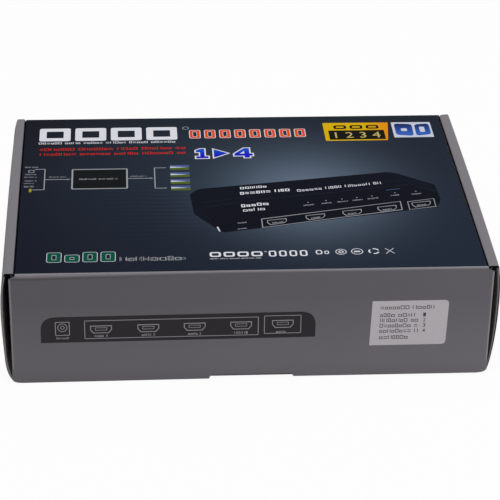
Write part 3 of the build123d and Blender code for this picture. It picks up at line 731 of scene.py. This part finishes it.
endWalls = {"half": 121.4, "footHalf": 119.4, "footCut": 2, "back": 88.05, "backTop": 62.7,
            "front": -85.65, "frontTop": 62.85}
wallSlot = {"half": 22.0, "top": 2.9}  # where the tongue goes in, open down to the crease
slotCorners = [(wallSlot["half"], 0), (wallSlot["half"], wallSlot["top"])]


# A wall's outline is one half, from the top down, and its mirror.
def endWall(name, place, top, corners):
    p = endWalls
    half = np.array([(p["half"], top), (p["half"], p["footCut"]), (p["footHalf"], 0), *corners])
    board(name + "_board", np.concatenate([half * (-1, 1), half[::-1]]), place, greyBoard, "tray", [name])


endWall("back_wall", onPlane("Y", endWalls["back"]), endWalls["backTop"], [])
endWall("front_wall", onPlane("Y", endWalls["front"], -1), endWalls["frontTop"], slotCorners)

leaflet = {"half": 71, "spine": 13.05, "edge": 75.05, "foot": 1.0, "thick": 1.2, "sheets": 4, "paper": 0.13,
           "stagger": 0.2, "turnSteps": 13, "columns": 3}


# One folded sheet: a run to the spine, a half turn and the run back, nested by its level.
def foldedSheet(level):
    p = leaflet
    middle, gauge = (p["spine"] + p["thick"] / 2, p["foot"] + p["thick"] / 2), p["thick"] / 2 / p["sheets"]
    sides = []
    for radius in ((level + 0.5) * gauge + p["paper"] / 2, (level + 0.5) * gauge - p["paper"] / 2):
        edge = p["edge"] - p["stagger"] * (p["sheets"] - 1 - level)
        path = np.array([(edge, middle[1] - radius), *bow(*middle, radius, 270, 90, p["turnSteps"]),
                         (edge, middle[1] + radius)])
        x = np.linspace(-p["half"], p["half"], p["columns"])[None]
        sides.append(at(x, path[:, :1], path[:, 1:]))
    return slab(*sides, (0, 0, 0))


makePiece("leaflet_sheets", [foldedSheet(level) for level in range(leaflet["sheets"])], (leafletPaper,),
          "tray", ["user_leaflet"])
print("tray made")

filmStep = 0.015  # each colour of the print is a thin film
numerals = {"size": 10, "depth": 0.5, "smoothness": 3, "merged": 1e-4}  # before they are fitted


# Plain numerals of the built-in font, thickened by bold and fitted to a frame, as closed sheets.
def glyphs(text, bold, frameEdges, low, high, place):
    curve = bpy.data.curves.new("numerals", "FONT")
    curve.body, curve.size, curve.offset = text, numerals["size"], bold
    curve.extrude, curve.resolution_u = numerals["depth"], numerals["smoothness"]
    helper = addObject("numerals", curve)
    solid = bpy.data.meshes.new_from_object(helper)
    bpy.data.objects.remove(helper)
    shape = bmesh.new()
    shape.from_mesh(solid)
    bmesh.ops.remove_doubles(shape, verts=shape.verts, dist=numerals["merged"])
    points = np.array([vertex.co for vertex in shape.verts])
    loops = [[corner.index for corner in face.verts] for face in shape.faces]
    shape.free()
    left, bottom, right, top = frameEdges
    share = (points - points.min(0)) / np.ptp(points, axis=0)
    placed = place(left + share[:, 0] * (right - left), bottom + share[:, 1] * (top - bottom),
                   low + share[:, 2] * (high - low))
    faces = [(np.array([loop for loop in loops if len(loop) == n]), 0) for n in {len(loop) for loop in loops}]
    return {"points": placed, "faces": faces}


# All the shapes of one colour, on the paper or on a lower layer: an outline, a pair of outlines for
# a ring, or a text with its boldness and frame.
def inkFilm(name, ink, layer, place, body, shapes, ground=paperTop):
    low, high = ground + layer * filmStep, ground + (layer + 1) * filmStep
    shells = []
    for one in shapes:
        if isinstance(one, np.ndarray):
            shells.append(prism(one, low, high, place, (0, 0, 0)))
        elif isinstance(one[0], str):
            shells.append(glyphs(*one, low, high, place))
        else:
            shells.append(ring(*one, low, high, place))
    return makePiece(name, shells, (inks[ink],), body)


# The outside and inside of a drawn frame.
def frameShape(left, bottom, right, top, line, radius=0.0, mostRound=1.6):
    return (bar(left, bottom, right, top, min(radius + line, mostRound) if radius else 0.0),
            bar(left + line, bottom + line, right - line, top - line, radius))


# Equal places in a row between two ends: left, bottom, right and top of each.
def rowOf(count, left, bottom, right, top, gap):
    pitch = (right - left + gap) / count
    return [(left + n * pitch, bottom, left + (n + 1) * pitch - gap, top) for n in range(count)]


# Equal frames in a row.
def frameRow(count, left, bottom, right, top, gap, line, radius):
    return [frameShape(*one, line, radius) for one in rowOf(count, left, bottom, right, top, gap)]


# Widths, gaps and heights of the marks are shares of the row's height.
typeMake = {"words": (4, 9), "widths": (0.62, 0.95), "low": 0.72, "dashes": (0.12, 0.6), "gap": 0.2,
            "wordGap": 0.6, "least": 0.7}


# A row of marks like small type: frames, low frames, pairs of posts and pairs of dashes, of widths
# drawn from a seeded list, a pen's width thick, with a gap after every few; the row climbs by its slope.
def typed(left, right, foot, height, seed, pen=0.16, slope=0.0):
    t = typeMake
    draws = np.random.RandomState(seed)
    shapes, x, word, thick = [], left, draws.randint(*t["words"]), pen * height
    while x < right - height * t["least"]:
        kind, width, y = draws.randint(6), height * draws.uniform(*t["widths"]), foot + slope * (x - left)
        if kind < 4:
            tall = height if kind < 2 else height * t["low"]
            shapes.append(frameShape(x, y, x + width, y + tall, thick))
        elif kind == 4:
            posts = (x, x + (width - thick))
            shapes += [bar(post, y, post + thick, y + height) for post in posts]
        else:
            shapes += [bar(x, y + n * height, x + width, y + n * height + thick) for n in t["dashes"]]
        x += width + height * t["gap"]
        word -= 1
        if not word:
            word = draws.randint(*t["words"])
            x += height * t["wordGap"]
    return shapes


# Several typed rows, each given as typed takes it.
def typedRows(*rows):
    return [mark for row in rows for mark in typed(*row)]


# A circle's outline, and a ring between two of them.
def dot(x, y, radius, count=20):
    return bow(x, y, radius, 0, 360 - 360 / count, count)


def hoop(x, y, outer, inner, count=20):
    return dot(x, y, outer, count), dot(x, y, inner, count)


# A line drawn with a flat pen: the path offset to both sides along its normals.
def stroke(points, width):
    points = np.asarray(points, float)
    along = np.gradient(points, axis=0)
    across = np.stack([-along[:, 1], along[:, 0]], -1) / np.linalg.norm(along, axis=1, keepdims=True)
    return np.concatenate([points + across * width / 2, (points - across * width / 2)[::-1]])


# How the print lies on its panel: stretched, skewed and shifted a little, as presses leave it.
def registered(place, shift, stretch, skew):
    return lambda u, v, w: place(stretch[0] * u + skew[0] * v + shift[0],
                                 stretch[1] * v + skew[1] * u + shift[1], w)


onLidPrint = registered(onLid, (-0.27, -0.83), (0.9962, 0.9917), (0.0026, 0.0035))
onBand = registered(onFront, (-0.28, 0.087), (0.9971, 0.9979), (-0.0035, 0.0061))
onSticker = registered(onFront, (-0.28, 0.04), (0.9971, 0.9979), (-0.0035, 0.0016))


# Films on the lid and on the front panel, each of one ink.
def lidInk(name, ink, layer, *shapes):
    return inkFilm("lid_ink_" + name, ink, layer, onLidPrint, "lid", shapes)


def frontInk(name, ink, layer, *shapes):
    return inkFilm("front_ink_" + name, ink, layer, onBand, "lid_front", shapes)


lidInk("screens", "white", 0, *frameRow(4, -111.2, 61.8, -33.4, 78.0, 2.6, 3.95, 0.3),
       *typed(-111.4, -33.8, 58.1, 2.3, 3, 0.17))
lidInk("small_ring", "soft", 0, hoop(-28.4, 76.4, 1.9, 1.5))
lidInk("red_rows", "red", 0, *typedRows((-110.6, -29.0, 50.0, 2.9, 5, 0.17),
                                        (-110.4, -26.9, 44.0, 2.9, 8, 0.17)))


holeMake = {"round": 0.5, "paleRound": 0.2, "paleSides": 0.6}


# A thick frame with a thin pale line around it and in its hole: the ring of colour and the wider pale ring.
def edgedFrame(left, bottom, right, top, line, edge, radius):
    hole, beside = (left + line, bottom + line, right - line, top - line), edge * holeMake["paleSides"]
    colour = (bar(left, bottom, right, top, radius), bar(*hole, holeMake["round"]))
    pale = (bar(left - edge, bottom - edge, right + edge, top + edge, radius + edge),
            bar(hole[0] + beside, hole[1] + edge, hole[2] - beside, hole[3] - edge, holeMake["paleRound"]))
    return colour, pale


bars = [edgedFrame(*one, 1.6, 0.42, 1.0) for one in rowOf(8, -26.2, 63.4, 39.4, 73.2, 2.9)]
lidInk("bar_edges", "white", 0, *[pale for colour, pale in bars])
lidInk("bars", "orange", 1, *[colour for colour, pale in bars])
ratioShapes = {"one": [(0, 0), (1, 0), (1, 0.2), (0.7, 0.2), (0.7, 1), (0.36, 1), (0, 0.84), (0, 0.64),
                       (0.34, 0.64), (0.34, 0.2), (0, 0.2)],
               "four": [(0.55, 0), (0.83, 0), (0.83, 0.2), (1, 0.2), (1, 0.42), (0.83, 0.42), (0.83, 1),
                        (0.55, 1), (0, 0.42), (0, 0.2), (0.55, 0.2)],
               "fourHole": [(0.3, 0.42), (0.55, 0.42), (0.55, 0.7)], "arrow": [(0, 0), (1, 0.5), (0, 1)]}


# A shape of unit size, fitted to a frame.
def fitted(name, left, bottom, right, top):
    return np.array(ratioShapes[name]) * (right - left, top - bottom) + (left, bottom)


# An outline moved out by its edge's width, along the mitres of its corners.
def grown(outline, edge):
    sides = np.roll(outline, -1, 0) - outline
    normal = np.stack([sides[:, 1], -sides[:, 0]], -1) / np.linalg.norm(sides, axis=1, keepdims=True)
    before = np.roll(normal, 1, 0)
    return outline + edge * (normal + before) / (1 + (normal * before).sum(1, keepdims=True))


fourFrame = (-2.2, 38.0, 8.0, 49.8)
ratio = [fitted("one", -23.6, 38.0, -16.8, 49.6), fitted("arrow", -13.6, 38.6, -5.8, 48.8),
         fitted("four", *fourFrame)]
lidInk("ratio_edge", "white", 0, *[grown(shape, 0.8) for shape in ratio])
lidInk("ratio", "blue", 1, *ratio)
lidInk("ratio_hole", "white", 2, fitted("fourHole", *fourFrame))

lidInk("gold_badge", "gold", 0, rounded([(50.6, 57.5), (86.0, 57.4), (88.4, 80.2), (50.5, 80.6)], 0.8))
lidInk("gold_badge_rows", "black", 1, bar(53.0, 58.8, 85.0, 70.6, 0.4),
       *frameRow(3, 56.4, 72.4, 82.4, 77.2, 2.0, 1.45, 0.3))
lidInk("gold_badge_numerals", "cream", 2, ("1 2 3 4", 0.03, (56.4, 60.9, 82.4, 68.2)))
lidInk("pale_badge", "pale", 0, rounded([(90.0, 60.6), (112.8, 60.6), (112.7, 80.0), (90.1, 80.2)], 0.6))
lidInk("pale_badge_blocks", "lens", 1,
       rounded([(91.5, 64.0), (101.4, 62.4), (101.8, 77.6), (91.6, 78.6)], 2.4),
       rounded([(103.0, 62.4), (111.7, 64.2), (111.6, 78.2), (103.2, 77.2)], 2.4))
lidInk("pale_badge_marks", "pale", 2, bar(94.9, 68.6, 98.4, 72.2, 0.9), bar(105.6, 67.2, 108.6, 74.0, 0.9))

wires = [[(-112.6, 27.4), (-107.0, 27.4)], [(-107.0, 27.7), (-107.0, 2.9)], [(-113.2, 3.2), (-107.0, 3.2)],
         [(-106.8, 15.0), (-92.4, 14.9)], [(-61.7, 14.9), (-47.2, 14.8)], [(-47.1, 27.5), (-47.1, 2.6)],
         [(-47.1, 27.1), (-40.9, 27.1)], [(-47.1, 3.0), (-40.9, 3.0)]]
arrowHeads = [np.array([(-92.4, 14.9), (-94.8, 15.9), (-94.8, 13.9)]),
              np.array([(-47.3, 14.8), (-49.6, 15.8), (-49.6, 13.8)])]
wiringRows = [(-104.6, -95.5, 17.4, 1.1, 11), (-60.4, -51.3, 16.9, 1.1, 12),
              (-118.0, -110.8, 29.4, 1.4, 13), (-117.6, -111.0, 20.8, 1.3, 14),
              (-118.0, -110.6, 17.6, 1.1, 17), (-117.8, -110.8, 13.2, 1.3, 15),
              (-118.0, -111.4, 10.4, 1.0, 18), (-117.8, -112.4, 6.4, 1.5, 16)]
lidInk("wiring", "soft", 0, *[stroke(wire, 0.55) for wire in wires], *arrowHeads, *typedRows(*wiringRows),
       frameShape(-92.4, 3.1, -61.8, 26.9, 0.85, 0.2), frameShape(-116.0, 23.6, -112.8, 26.6, 0.4))
lidInk("wiring_box", "boxGround", 0, bar(-91.4, 4.1, -62.8, 25.9))
lidInk("wiring_box_row", "soft", 1, *typed(-88.2, -66.4, 14.1, 1.6, 19))
lidInk("tick", "yellow", 0, bar(-115.0, 0.6, -113.7, 4.4))
smallScreens = [(24.4, 30.1), (15.8, 21.4), (7.6, 13.4), (0.2, 5.6)]


# One part of every small screen; the outline's heights are shares of the screen's height.
def screenPart(name, ink, layer, outline, radius=0.0):
    parts = [rounded([(x, low + (high - low) * share) for x, share in outline], radius)
             for low, high in smallScreens]
    lidInk("screen_" + name, ink, layer, *parts)


screenPart("skies", "sky", 0, [(-38.6, 0.5), (-28.0, 0.5), (-28.0, 1), (-38.6, 1)])
screenPart("fields", "grass", 0, [(-38.6, 0), (-28.0, 0), (-28.0, 0.5), (-38.6, 0.5)])
screenPart("clouds", "pale", 1, [(-38.4, 0.4), (-29.4, 0.5), (-38.4, 0.72)], 0.3)

deviceRidge = [(-28.2, -12.5), (-21.5, -19.0), (3.5, -12.2), (91.6, 3.6), (105.4, -4.6)]
deviceTop = rounded([(-28.7, -4.6), (-24.0, 1.2), (80.0, 17.8), (85.4, 16.6), (105.0, 2.0),
                     *deviceRidge[::-1]], (1.6, 2.2, 1.0, 1.6, 1.2, 1.0, 0.6, 0.6, 2.4, 1.6))
deviceFace = rounded([*deviceRidge, (105.8, -16.4), (102.6, -23.6), (-13.2, -48.0), (-27.2, -26.8)],
                     (1.2, 2.0, 0.6, 0.6, 1.0, 2.2, 2.4, 2.6, 2.2))
deviceEnd = rounded([(-27.4, -14.0), (-21.8, -20.2), (-15.6, -44.2), (-26.4, -27.2)], (0.8, 1.0, 1.2, 1.8))
lidInk("device_top", "deviceTop", 0, deviceTop)
lidInk("device_face", "deviceFace", 0, deviceFace)
lidInk("device_end", "deviceEnd", 1, deviceEnd)
lidInk("device_edge", "deviceEdge", 1,
       stroke([(-20.5, -19.6), (3.5, -13.0), (91.6, 2.8), (104.6, -5.2)], 0.4),
       stroke([(-23.0, -14.6), (3.6, -8.6), (47.6, 0.6), (88.9, 8.2), (94.0, 6.0), (102.6, 0.2)], 0.3))
lidInk("device_glint", "pale", 1, np.array([(-16.0, -41.9), (-15.1, -41.5), (-14.0, -46.6), (-14.8, -46.6)]))
lidInk("device_dash", "dash", 1, stroke([(77.6, -3.6), (85.5, -1.9)], 0.8))


# A frame whose long sides climb by rise from left to right.
def slanted(left, bottom, right, top, rise, line):
    outer = np.array([(left, bottom), (right, bottom + rise), (right, top + rise), (left, top)], float)
    return outer, outer + np.array([(1, 1), (-1, 1), (-1, -1), (1, -1)]) * line


mouthDrawing = {"shoulder": 0.45, "foot": 0.14, "lineAcross": 2.4, "lineUp": 2.6}


# A socket's mouth: a wide upper part over a narrower foot, outlined; its inside is the outside drawn in
# about the middle. The shoulder and foot are shares of its height and width.
def socketShape(x, y, width, height, line, rise=0.0):
    p = mouthDrawing
    left, right = x - width / 2, x + width / 2
    middle, foot = y + height * p["shoulder"], width * p["foot"]
    outer = np.array([(left, middle), (left + foot, y), (right - foot, y + rise), (right, middle + rise),
                      (right, y + height + rise), (left, y + height)], float)
    centre = outer.mean(0)
    drawnIn = (1 - p["lineAcross"] * line / width, 1 - p["lineUp"] * line / height)
    return outer, centre + (outer - centre) * drawnIn


lamps = [(34.1, -16.2), (44.0, -14.4), (52.7, -12.9), (60.9, -11.4), (69.2, -9.9), (82.1, -6.6), (93.6, -5.4)]
mouths = [(16.1, -40.6), (36.8, -36.0), (56.8, -31.7), (75.9, -27.8), (94.8, -23.6)]
climb = 0.18
deviceRows = [*[(x - 2.6, x + 3.4, y - 3.8, 1.2, 60 + n, 0.2, climb) for n, (x, y) in enumerate(lamps)],
              *[(x - 2.6, x + 3.2, y + 1.6, 1.3, 70 + n, 0.2, climb) for n, (x, y) in enumerate(mouths)],
              (-4.6, 0.8, -38.4, 1.0, 81, 0.2, climb), (-4.9, 0.4, -44.8, 1.2, 82, 0.2, climb)]
lidInk("device_marks", "soft", 1, slanted(7.9, -43.4, 84.0, -33.6, 17.2, 0.5),
       slanted(87.5, -26.3, 102.4, -17.0, 3.2, 0.4),
       *[socketShape(x, y, 10.4, 5.2, 0.36, 2.0) for x, y in mouths],
       *[dot(x, y, 0.4, 10) for x, y in lamps], *typedRows(*deviceRows))
lidInk("device_rows", "white", 1, *typedRows(
    (-1.3, 15.8, 0.2, 2.5, 83, 0.22, 0.13), (-1.6, 26.4, -6.0, 2.9, 84, 0.24, 0.13),
    (29.4, 76.6, -3.6, 2.5, 85, 0.2, 0.17), (-1.8, 12.6, -20.4, 3.2, 86, 0.22, climb),
    (-1.1, 13.2, -25.2, 3.0, 87, 0.17, 0.14)))

chips = [edgedFrame(left, bottom, right, top - (2.6 if n == 1 else 0), 2.3, 0.36, 1.2)
         for n, (left, bottom, right, top) in enumerate(rowOf(4, -103.4, -76.0, -69.0, -66.4, 2.2))]
lidInk("green_edges", "pale", 0, *[pale for colour, pale in chips])
lidInk("green_chips", "green", 1, *[colour for colour, pale in chips])
lidInk("grey_row", "soft", 0, *typedRows(*[(-66.6 + n, -33.0, -76.0 + n, 4.2 - 2 * n, 22, 0.085)
                                          for n in (0, 0.75)]))
lidInk("white_row", "white", 0, *frameRow(4, -20.8, -73.4, 6.3, -68.4, 1.3, 1.18, 0.4),
       *typed(-20.8, 6.0, -75.7, 0.9, 21), *frameRow(4, 9.4, -74.0, 29.3, -68.0, 1.4, 0.95, 0.6),
       hoop(7.9, -68.8, 0.55, 0.3, 12))
lidInk("icons", "white", 0, frameShape(33.6, -72.6, 37.0, -68.2, 0.7, 0.8),
       frameShape(38.0, -72.4, 40.4, -69.0, 0.6, 0.6), hoop(46.6, -70.4, 2.9, 2.45),
       hoop(46.6, -70.4, 1.4, 0.8), hoop(54.9, -70.3, 3.1, 2.65), bar(53.3, -71.0, 56.5, -69.7, 0.2),
       *[stroke(bow(63.6, -70.3, 2.5, start, start + 80, 8), 0.85) for start in (20, 140, 260)],
       stroke([(69.6, -73.0), (74.0, -67.6)], 0.36), stroke([(69.6, -67.6), (74.0, -73.0)], 0.36))
print("lid print made")

frontInk("band", "band", 0, bar(-107.3, 24.5, 32.8, 39.7, (0, 0, 8, 8), 8))
jack = (-96.2, 32.8)
ports = [(-76.65, 29.1), (-52.65, 29.2), (-29.05, 29.4), (-5.35, 29.5), (16.0, 29.9)]
frontInk("band_lines", "bandLine", 1, frameShape(-85.1, 26.4, 3.6, 37.3, 0.34, 0.2),
         frameShape(6.4, 27.0, 25.4, 37.8, 0.34, 0.2),
         frameShape(jack[0] - 3.7, jack[1] - 4.1, jack[0] + 3.7, jack[1] + 4.0, 0.36, 0.2),
         hoop(jack[0], jack[1] + 0.6, 2.5, 2.15, 28), hoop(jack[0], jack[1] + 0.6, 1.1, 0.8),
         *[socketShape(x, y + 0.5, 11.0, 4.6, 0.34) for x, y in ports],
         *[frameShape(x - 3.0, y + 2.2, x + 3.0, y + 3.9, 0.26) for x, y in ports],
         *typedRows((-99.4, -92.9, 26.6, 1.1, 31),
                    *[(x - 3.4, x + 2.2, 27.4, 1.3, 90 + n, 0.2) for n, (x, y) in enumerate(ports)]),
         *[(mark, 0.02, (x + 2.4, 27.3, x + 3.3, 28.8)) for mark, (x, y) in zip("4321", ports)])

sticker = {"corners": [(60.9, 18.8), (100.3, 18.8), (101.0, 45.2), (61.6, 45.2)], "round": 2.5, "film": 0.055}
outline = rounded(sticker["corners"], (0.3, sticker["round"], sticker["round"], 0.3), 8)
stickerTop = paperTop + sticker["film"]
makePiece("port_label_sheet", [prism(outline, paperTop, stickerTop, onSticker, (0, 0, 0))], (labelPaper,),
          "lid_front", ["port_label"])
rowPlaces = [(95.4, 40.2), (86.8, 35.7), (86.8, 32.6), (86.8, 29.4), (86.8, 26.2), (83.6, 22.4)]
words = typedRows(*[(65.8, right, z, 2.2, 40 + n, 0.17) for n, (right, z) in enumerate(rowPlaces)])
words += [(mark, 0.02, (88.0, z, 89.4, z + 2.2)) for mark, (right, z) in zip("1234", rowPlaces[1:])]
inkFilm("port_label_rows", "typing", 0, onSticker, "lid_front", words, stickerTop)
print("front print made")

# A yellow bar on each side wall, bent to the wall and on its rows of points.
sideBar = {"front": -87.2, "back": 40.0, "foot": 36.0, "top": 40.5, "rows": 6, "film": 0.03}
for side, name in sides:
    y = sideRoll["front"] + rollShares() * (sideRoll["back"] - sideRoll["front"])
    y = np.append(y[(y > sideBar["front"]) & (y < sideBar["back"])], sideBar["back"])[:, None]
    z = np.linspace(sideBar["foot"], sideBar["top"], sideBar["rows"])[None]
    x = np.polyval(wallCurve, z)
    x = x + sag(side, x, y, z)
    sheets = [at(side * (x + film), y, z) for film in (sideBar["film"], 0)]
    makePiece(name + "_side_ink", [slab(*sheets, (0, 0, 0))], (inks["sideYellow"],), "tray")

# Numerals over the unit's sockets, and plain rows on its top cover.
unit = {"top": 60.7, "portFace": -74.35, "numeralHalf": 0.9, "numeralFoot": 1.4, "numeralTop": 4.0,
        "bold": 0.05}
socketNames = ["hdmi_output_" + mark for mark in "4321"]
socketMarks = []
for name in socketNames:
    low, high = (np.array(corner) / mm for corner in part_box(name))
    middle = (low[0] + high[0]) / 2
    frameEdges = (middle - unit["numeralHalf"], high[2] + unit["numeralFoot"],
                  middle + unit["numeralHalf"], high[2] + unit["numeralTop"])
    socketMarks.append((name[-1], unit["bold"], frameEdges))
inkFilm("unit_port_print", "unitWhite", 0, onPlane("Y", unit["portFace"], -1), "tray",
        socketMarks, 0)
inkFilm("unit_top_print", "unitWhite", 0, onPlane("Z", unit["top"]), "tray",
        frameRow(4, -24.0, -42.0, 24.0, -34.0, 3.0, 1.6, 0.6)
        + typedRows((-24.0, 24.0, -47.0, 2.2, 95), (-70.0, -40.0, -70.0, 1.6, 96)), 0)


# Colour, roughness and relief all follow one grain: rough is the least roughness and its spread.
def plainPaint(dark, light, scale, depth, rough=(0.5, 0.2), strength=0.3, grainMake=(4,)):
    def paint(place):
        grain = place.noise(scale, *grainMake)
        return {"Base Color": grain.blend((*dark, 1), (*light, 1)), "Roughness": grain * rough[1] + rough[0],
                "Normal": grain.bump(strength, depth)}
    return paint


# Metal whose fine grain is pulled out along the small stretch.
def brushedPaint(dark, light, stretch):
    return plainPaint(dark, light, 2600, 0.00002, (0.22, 0.2), 0.15, (3, 0.6, stretch))


circuitMake = {"cells": 260, "trace": 0.035, "padCells": 420, "pad": 0.16}


# Traces along the borders of coarse cells, and small pads at the middles of finer ones.
def circuitPaint(place):
    p = circuitMake
    cell = place.add("TexVoronoi", {"feature": "DISTANCE_TO_EDGE"}, {"Vector": place, "Scale": p["cells"]})
    trace = cell < p["trace"]
    via = place.add("TexVoronoi", {"feature": "F1"}, {"Vector": place, "Scale": p["padCells"]}) < p["pad"]
    mask = trace.blend((0.006, 0.075, 0.03, 1), (0.015, 0.14, 0.055, 1))
    return {"Base Color": via.blend(mask, (0.55, 0.45, 0.2, 1)), "Roughness": via * 0.1 + 0.28,
            "Normal": trace.bump(0.3, 0.00003)}


metal = {"Metallic": 1.0}
nodeFinishes = {
    "blackCase": (["top_cover", "bottom_tray"], sheen(0.4),
                  plainPaint((0.008, 0.008, 0.009), (0.02, 0.02, 0.022), 1500, 0.00008, (0.42, 0.2), 0.6)),
    "blackScrew": (["cover_screws"], {"Metallic": 0.8},
                   plainPaint((0.015, 0.015, 0.016), (0.03, 0.03, 0.032), 2000, 0.00002, (0.3, 0.15))),
    "zincScrew": (["pcb_screws"], metal, brushedPaint((0.5, 0.5, 0.5), (0.68, 0.68, 0.67), (1, 1, 0.1))),
    "brassPost": (["pcb_standoffs"], metal,
                  brushedPaint((0.62, 0.45, 0.18), (0.8, 0.62, 0.28), (0.1, 0.1, 1))),
    "footRubber": (["rubber_feet"], sheen(0.25),
                   plainPaint((0.02, 0.02, 0.02), (0.04, 0.04, 0.04), 900, 0.00005, (0.7, 0.15))),
    "solderMask": (["main_pcb"], sheen(0.5), circuitPaint),
    "socketSteel": ([*socketNames, "hdmi_input"], metal,
                    brushedPaint((0.5, 0.49, 0.46), (0.68, 0.67, 0.64), (0.08, 1, 1))),
    "socketPlastic": (["socket_blades", "dc_jack"], sheen(0.5),
                      plainPaint((0.012, 0.012, 0.013), (0.028, 0.028, 0.03), 1200, 0.00003, (0.35, 0.15))),
    "chipPlastic": (["splitter_chip", "output_drivers", "voltage_regulator", "power_inductor"],
                    sheen(0.4),
                    plainPaint((0.018, 0.018, 0.02), (0.035, 0.035, 0.037), 2500, 0.00002)),
    "siliconePad": (["thermal_pad"], sheen(0.3),
                    plainPaint((0.38, 0.43, 0.48), (0.48, 0.54, 0.6), 700, 0.00004, (0.6, 0.2))),
    "darkAluminium": (["heat_sink"], {"Metallic": 0.9},
                      brushedPaint((0.1, 0.1, 0.105), (0.19, 0.19, 0.2), (1, 0.05, 1))),
    "sleeve": (["bulk_capacitors"], sheen(0.5),
               plainPaint((0.012, 0.018, 0.05), (0.03, 0.04, 0.09), 300, 0.00002, (0.25, 0.1))),
    "ceramic": (["ceramic_capacitors"], sheen(0.4),
                plainPaint((0.45, 0.32, 0.2), (0.6, 0.46, 0.32), 2500, 0.00001, (0.4, 0.2))),
    "crystalCan": (["crystal"], metal, brushedPaint((0.55, 0.55, 0.54), (0.7, 0.7, 0.69), (1, 0.1, 1))),
    "lampLens": (["status_lamps"], sheen(0.5),
                 plainPaint((0.7, 0.72, 0.66), (0.85, 0.86, 0.8), 1500, 0.00001, (0.2, 0.1))),
    "acrylic": (["light_pipes"], {"Transmission Weight": 0.9, "IOR": 1.49},
                plainPaint((0.86, 0.9, 0.93), (0.95, 0.97, 0.98), 900, 0.00001, (0.05, 0.05)))}
nodeMaterials = {baseBoard: ["base_panel"],
                 innerLiner: [name + part for side, name in sides
                              for part in ("_inner_wall", "_front_dust_flap", "_back_dust_flap")],
                 kraftBoard: ["insert_deck", "insert_front_leg", "insert_back_leg", "insert_left_leg",
                              "insert_right_leg", "device_cell_flaps", "bay_flaps", "device_riser"]}
for name, (names, fixed, paint) in nodeFinishes.items():
    nodeMaterials[makeMaterial(name, fixed, paint)] = names
for finish, names in nodeMaterials.items():
    for name in names:
        mesh = nodes[name].data
        mesh.materials.clear()
        mesh.materials.append(finish)
print("node finishes set")

stage = {"floor": 6.0, "floorWhite": 0.95, "floorRough": 0.9, "sky": 0.25, "showThrough": 0.95}


# 1 for the rays that come from the camera, a mirror or glass, else 0.
def seenRays(tree):
    path = tree.nodes.new("ShaderNodeLightPath")
    camera, glossy, clear = (Wire(path.outputs[name]) for name in (
        "Is Camera Ray", "Is Glossy Ray", "Is Transmission Ray"))
    return (camera + glossy + clear).clamped()


# A pale floor: what the camera or a mirror sees is mostly plain white, with the shadow left in.
def makeFloor():
    half = stage["floor"] / 2
    mesh = bpy.data.meshes.new("floor")
    corners = [(-half, -half, 0), (half, -half, 0), (half, half, 0), (-half, half, 0)]
    mesh.from_pydata(corners, [], [(0, 1, 2, 3)])
    fixed = {"Base Color": (*[stage["floorWhite"]] * 3, 1), "Roughness": stage["floorRough"], **sheen(0.0)}
    material = makeMaterial("floorWhite", fixed, lambda place: {})
    tree = material.node_tree
    plain = Wire(tree.nodes["Principled BSDF"].outputs[0])
    seen = seenRays(tree) * stage["showThrough"]
    white = seen.add("Emission", None, {"Color": (1, 1, 1, 1), "Strength": 1.0})
    mixed = seen.add("MixShader", None, {0: seen, 1: plain, 2: white})
    tree.links.new(mixed.socket, tree.nodes["Material Output"].inputs["Surface"])
    mesh.materials.append(material)
    addObject("floor", mesh)


# White sky: full strength where it is seen, and a share of it as light on the object.
def makeWorld():
    world = bpy.data.worlds.new("studio")
    bpy.context.scene.world = world
    world.use_nodes = True
    tree = world.node_tree
    strength = seenRays(tree) * (1 - stage["sky"]) + stage["sky"]
    background = tree.nodes["Background"]
    background.inputs["Color"].default_value = (1, 1, 1, 1)
    tree.links.new(strength.socket, background.inputs["Strength"])


lampAim = (0, 0, 0.03)
lampPlan = {"top": {"place": (0.1, -0.05, 1.5), "size": 1.3, "power": 15.0},
            "front": {"place": (1.1, -1.3, 0.4), "size": 0.8, "power": 0.3}}


# Square soft lamps, each turned to look at the middle of the object.
def makeLamps():
    for name, plan in lampPlan.items():
        lamp = bpy.data.lights.new(name + "Lamp", "AREA")
        lamp.shape, lamp.size, lamp.energy = "SQUARE", plan["size"], plan["power"]
        holder = addObject(name + "Lamp", lamp)
        holder.location = plan["place"]
        aim = Vector(lampAim) - Vector(plan["place"])
        holder.rotation_euler = aim.to_track_quat("-Z", "Y").to_euler()


makeFloor()
makeWorld()
makeLamps()
print("stage set")
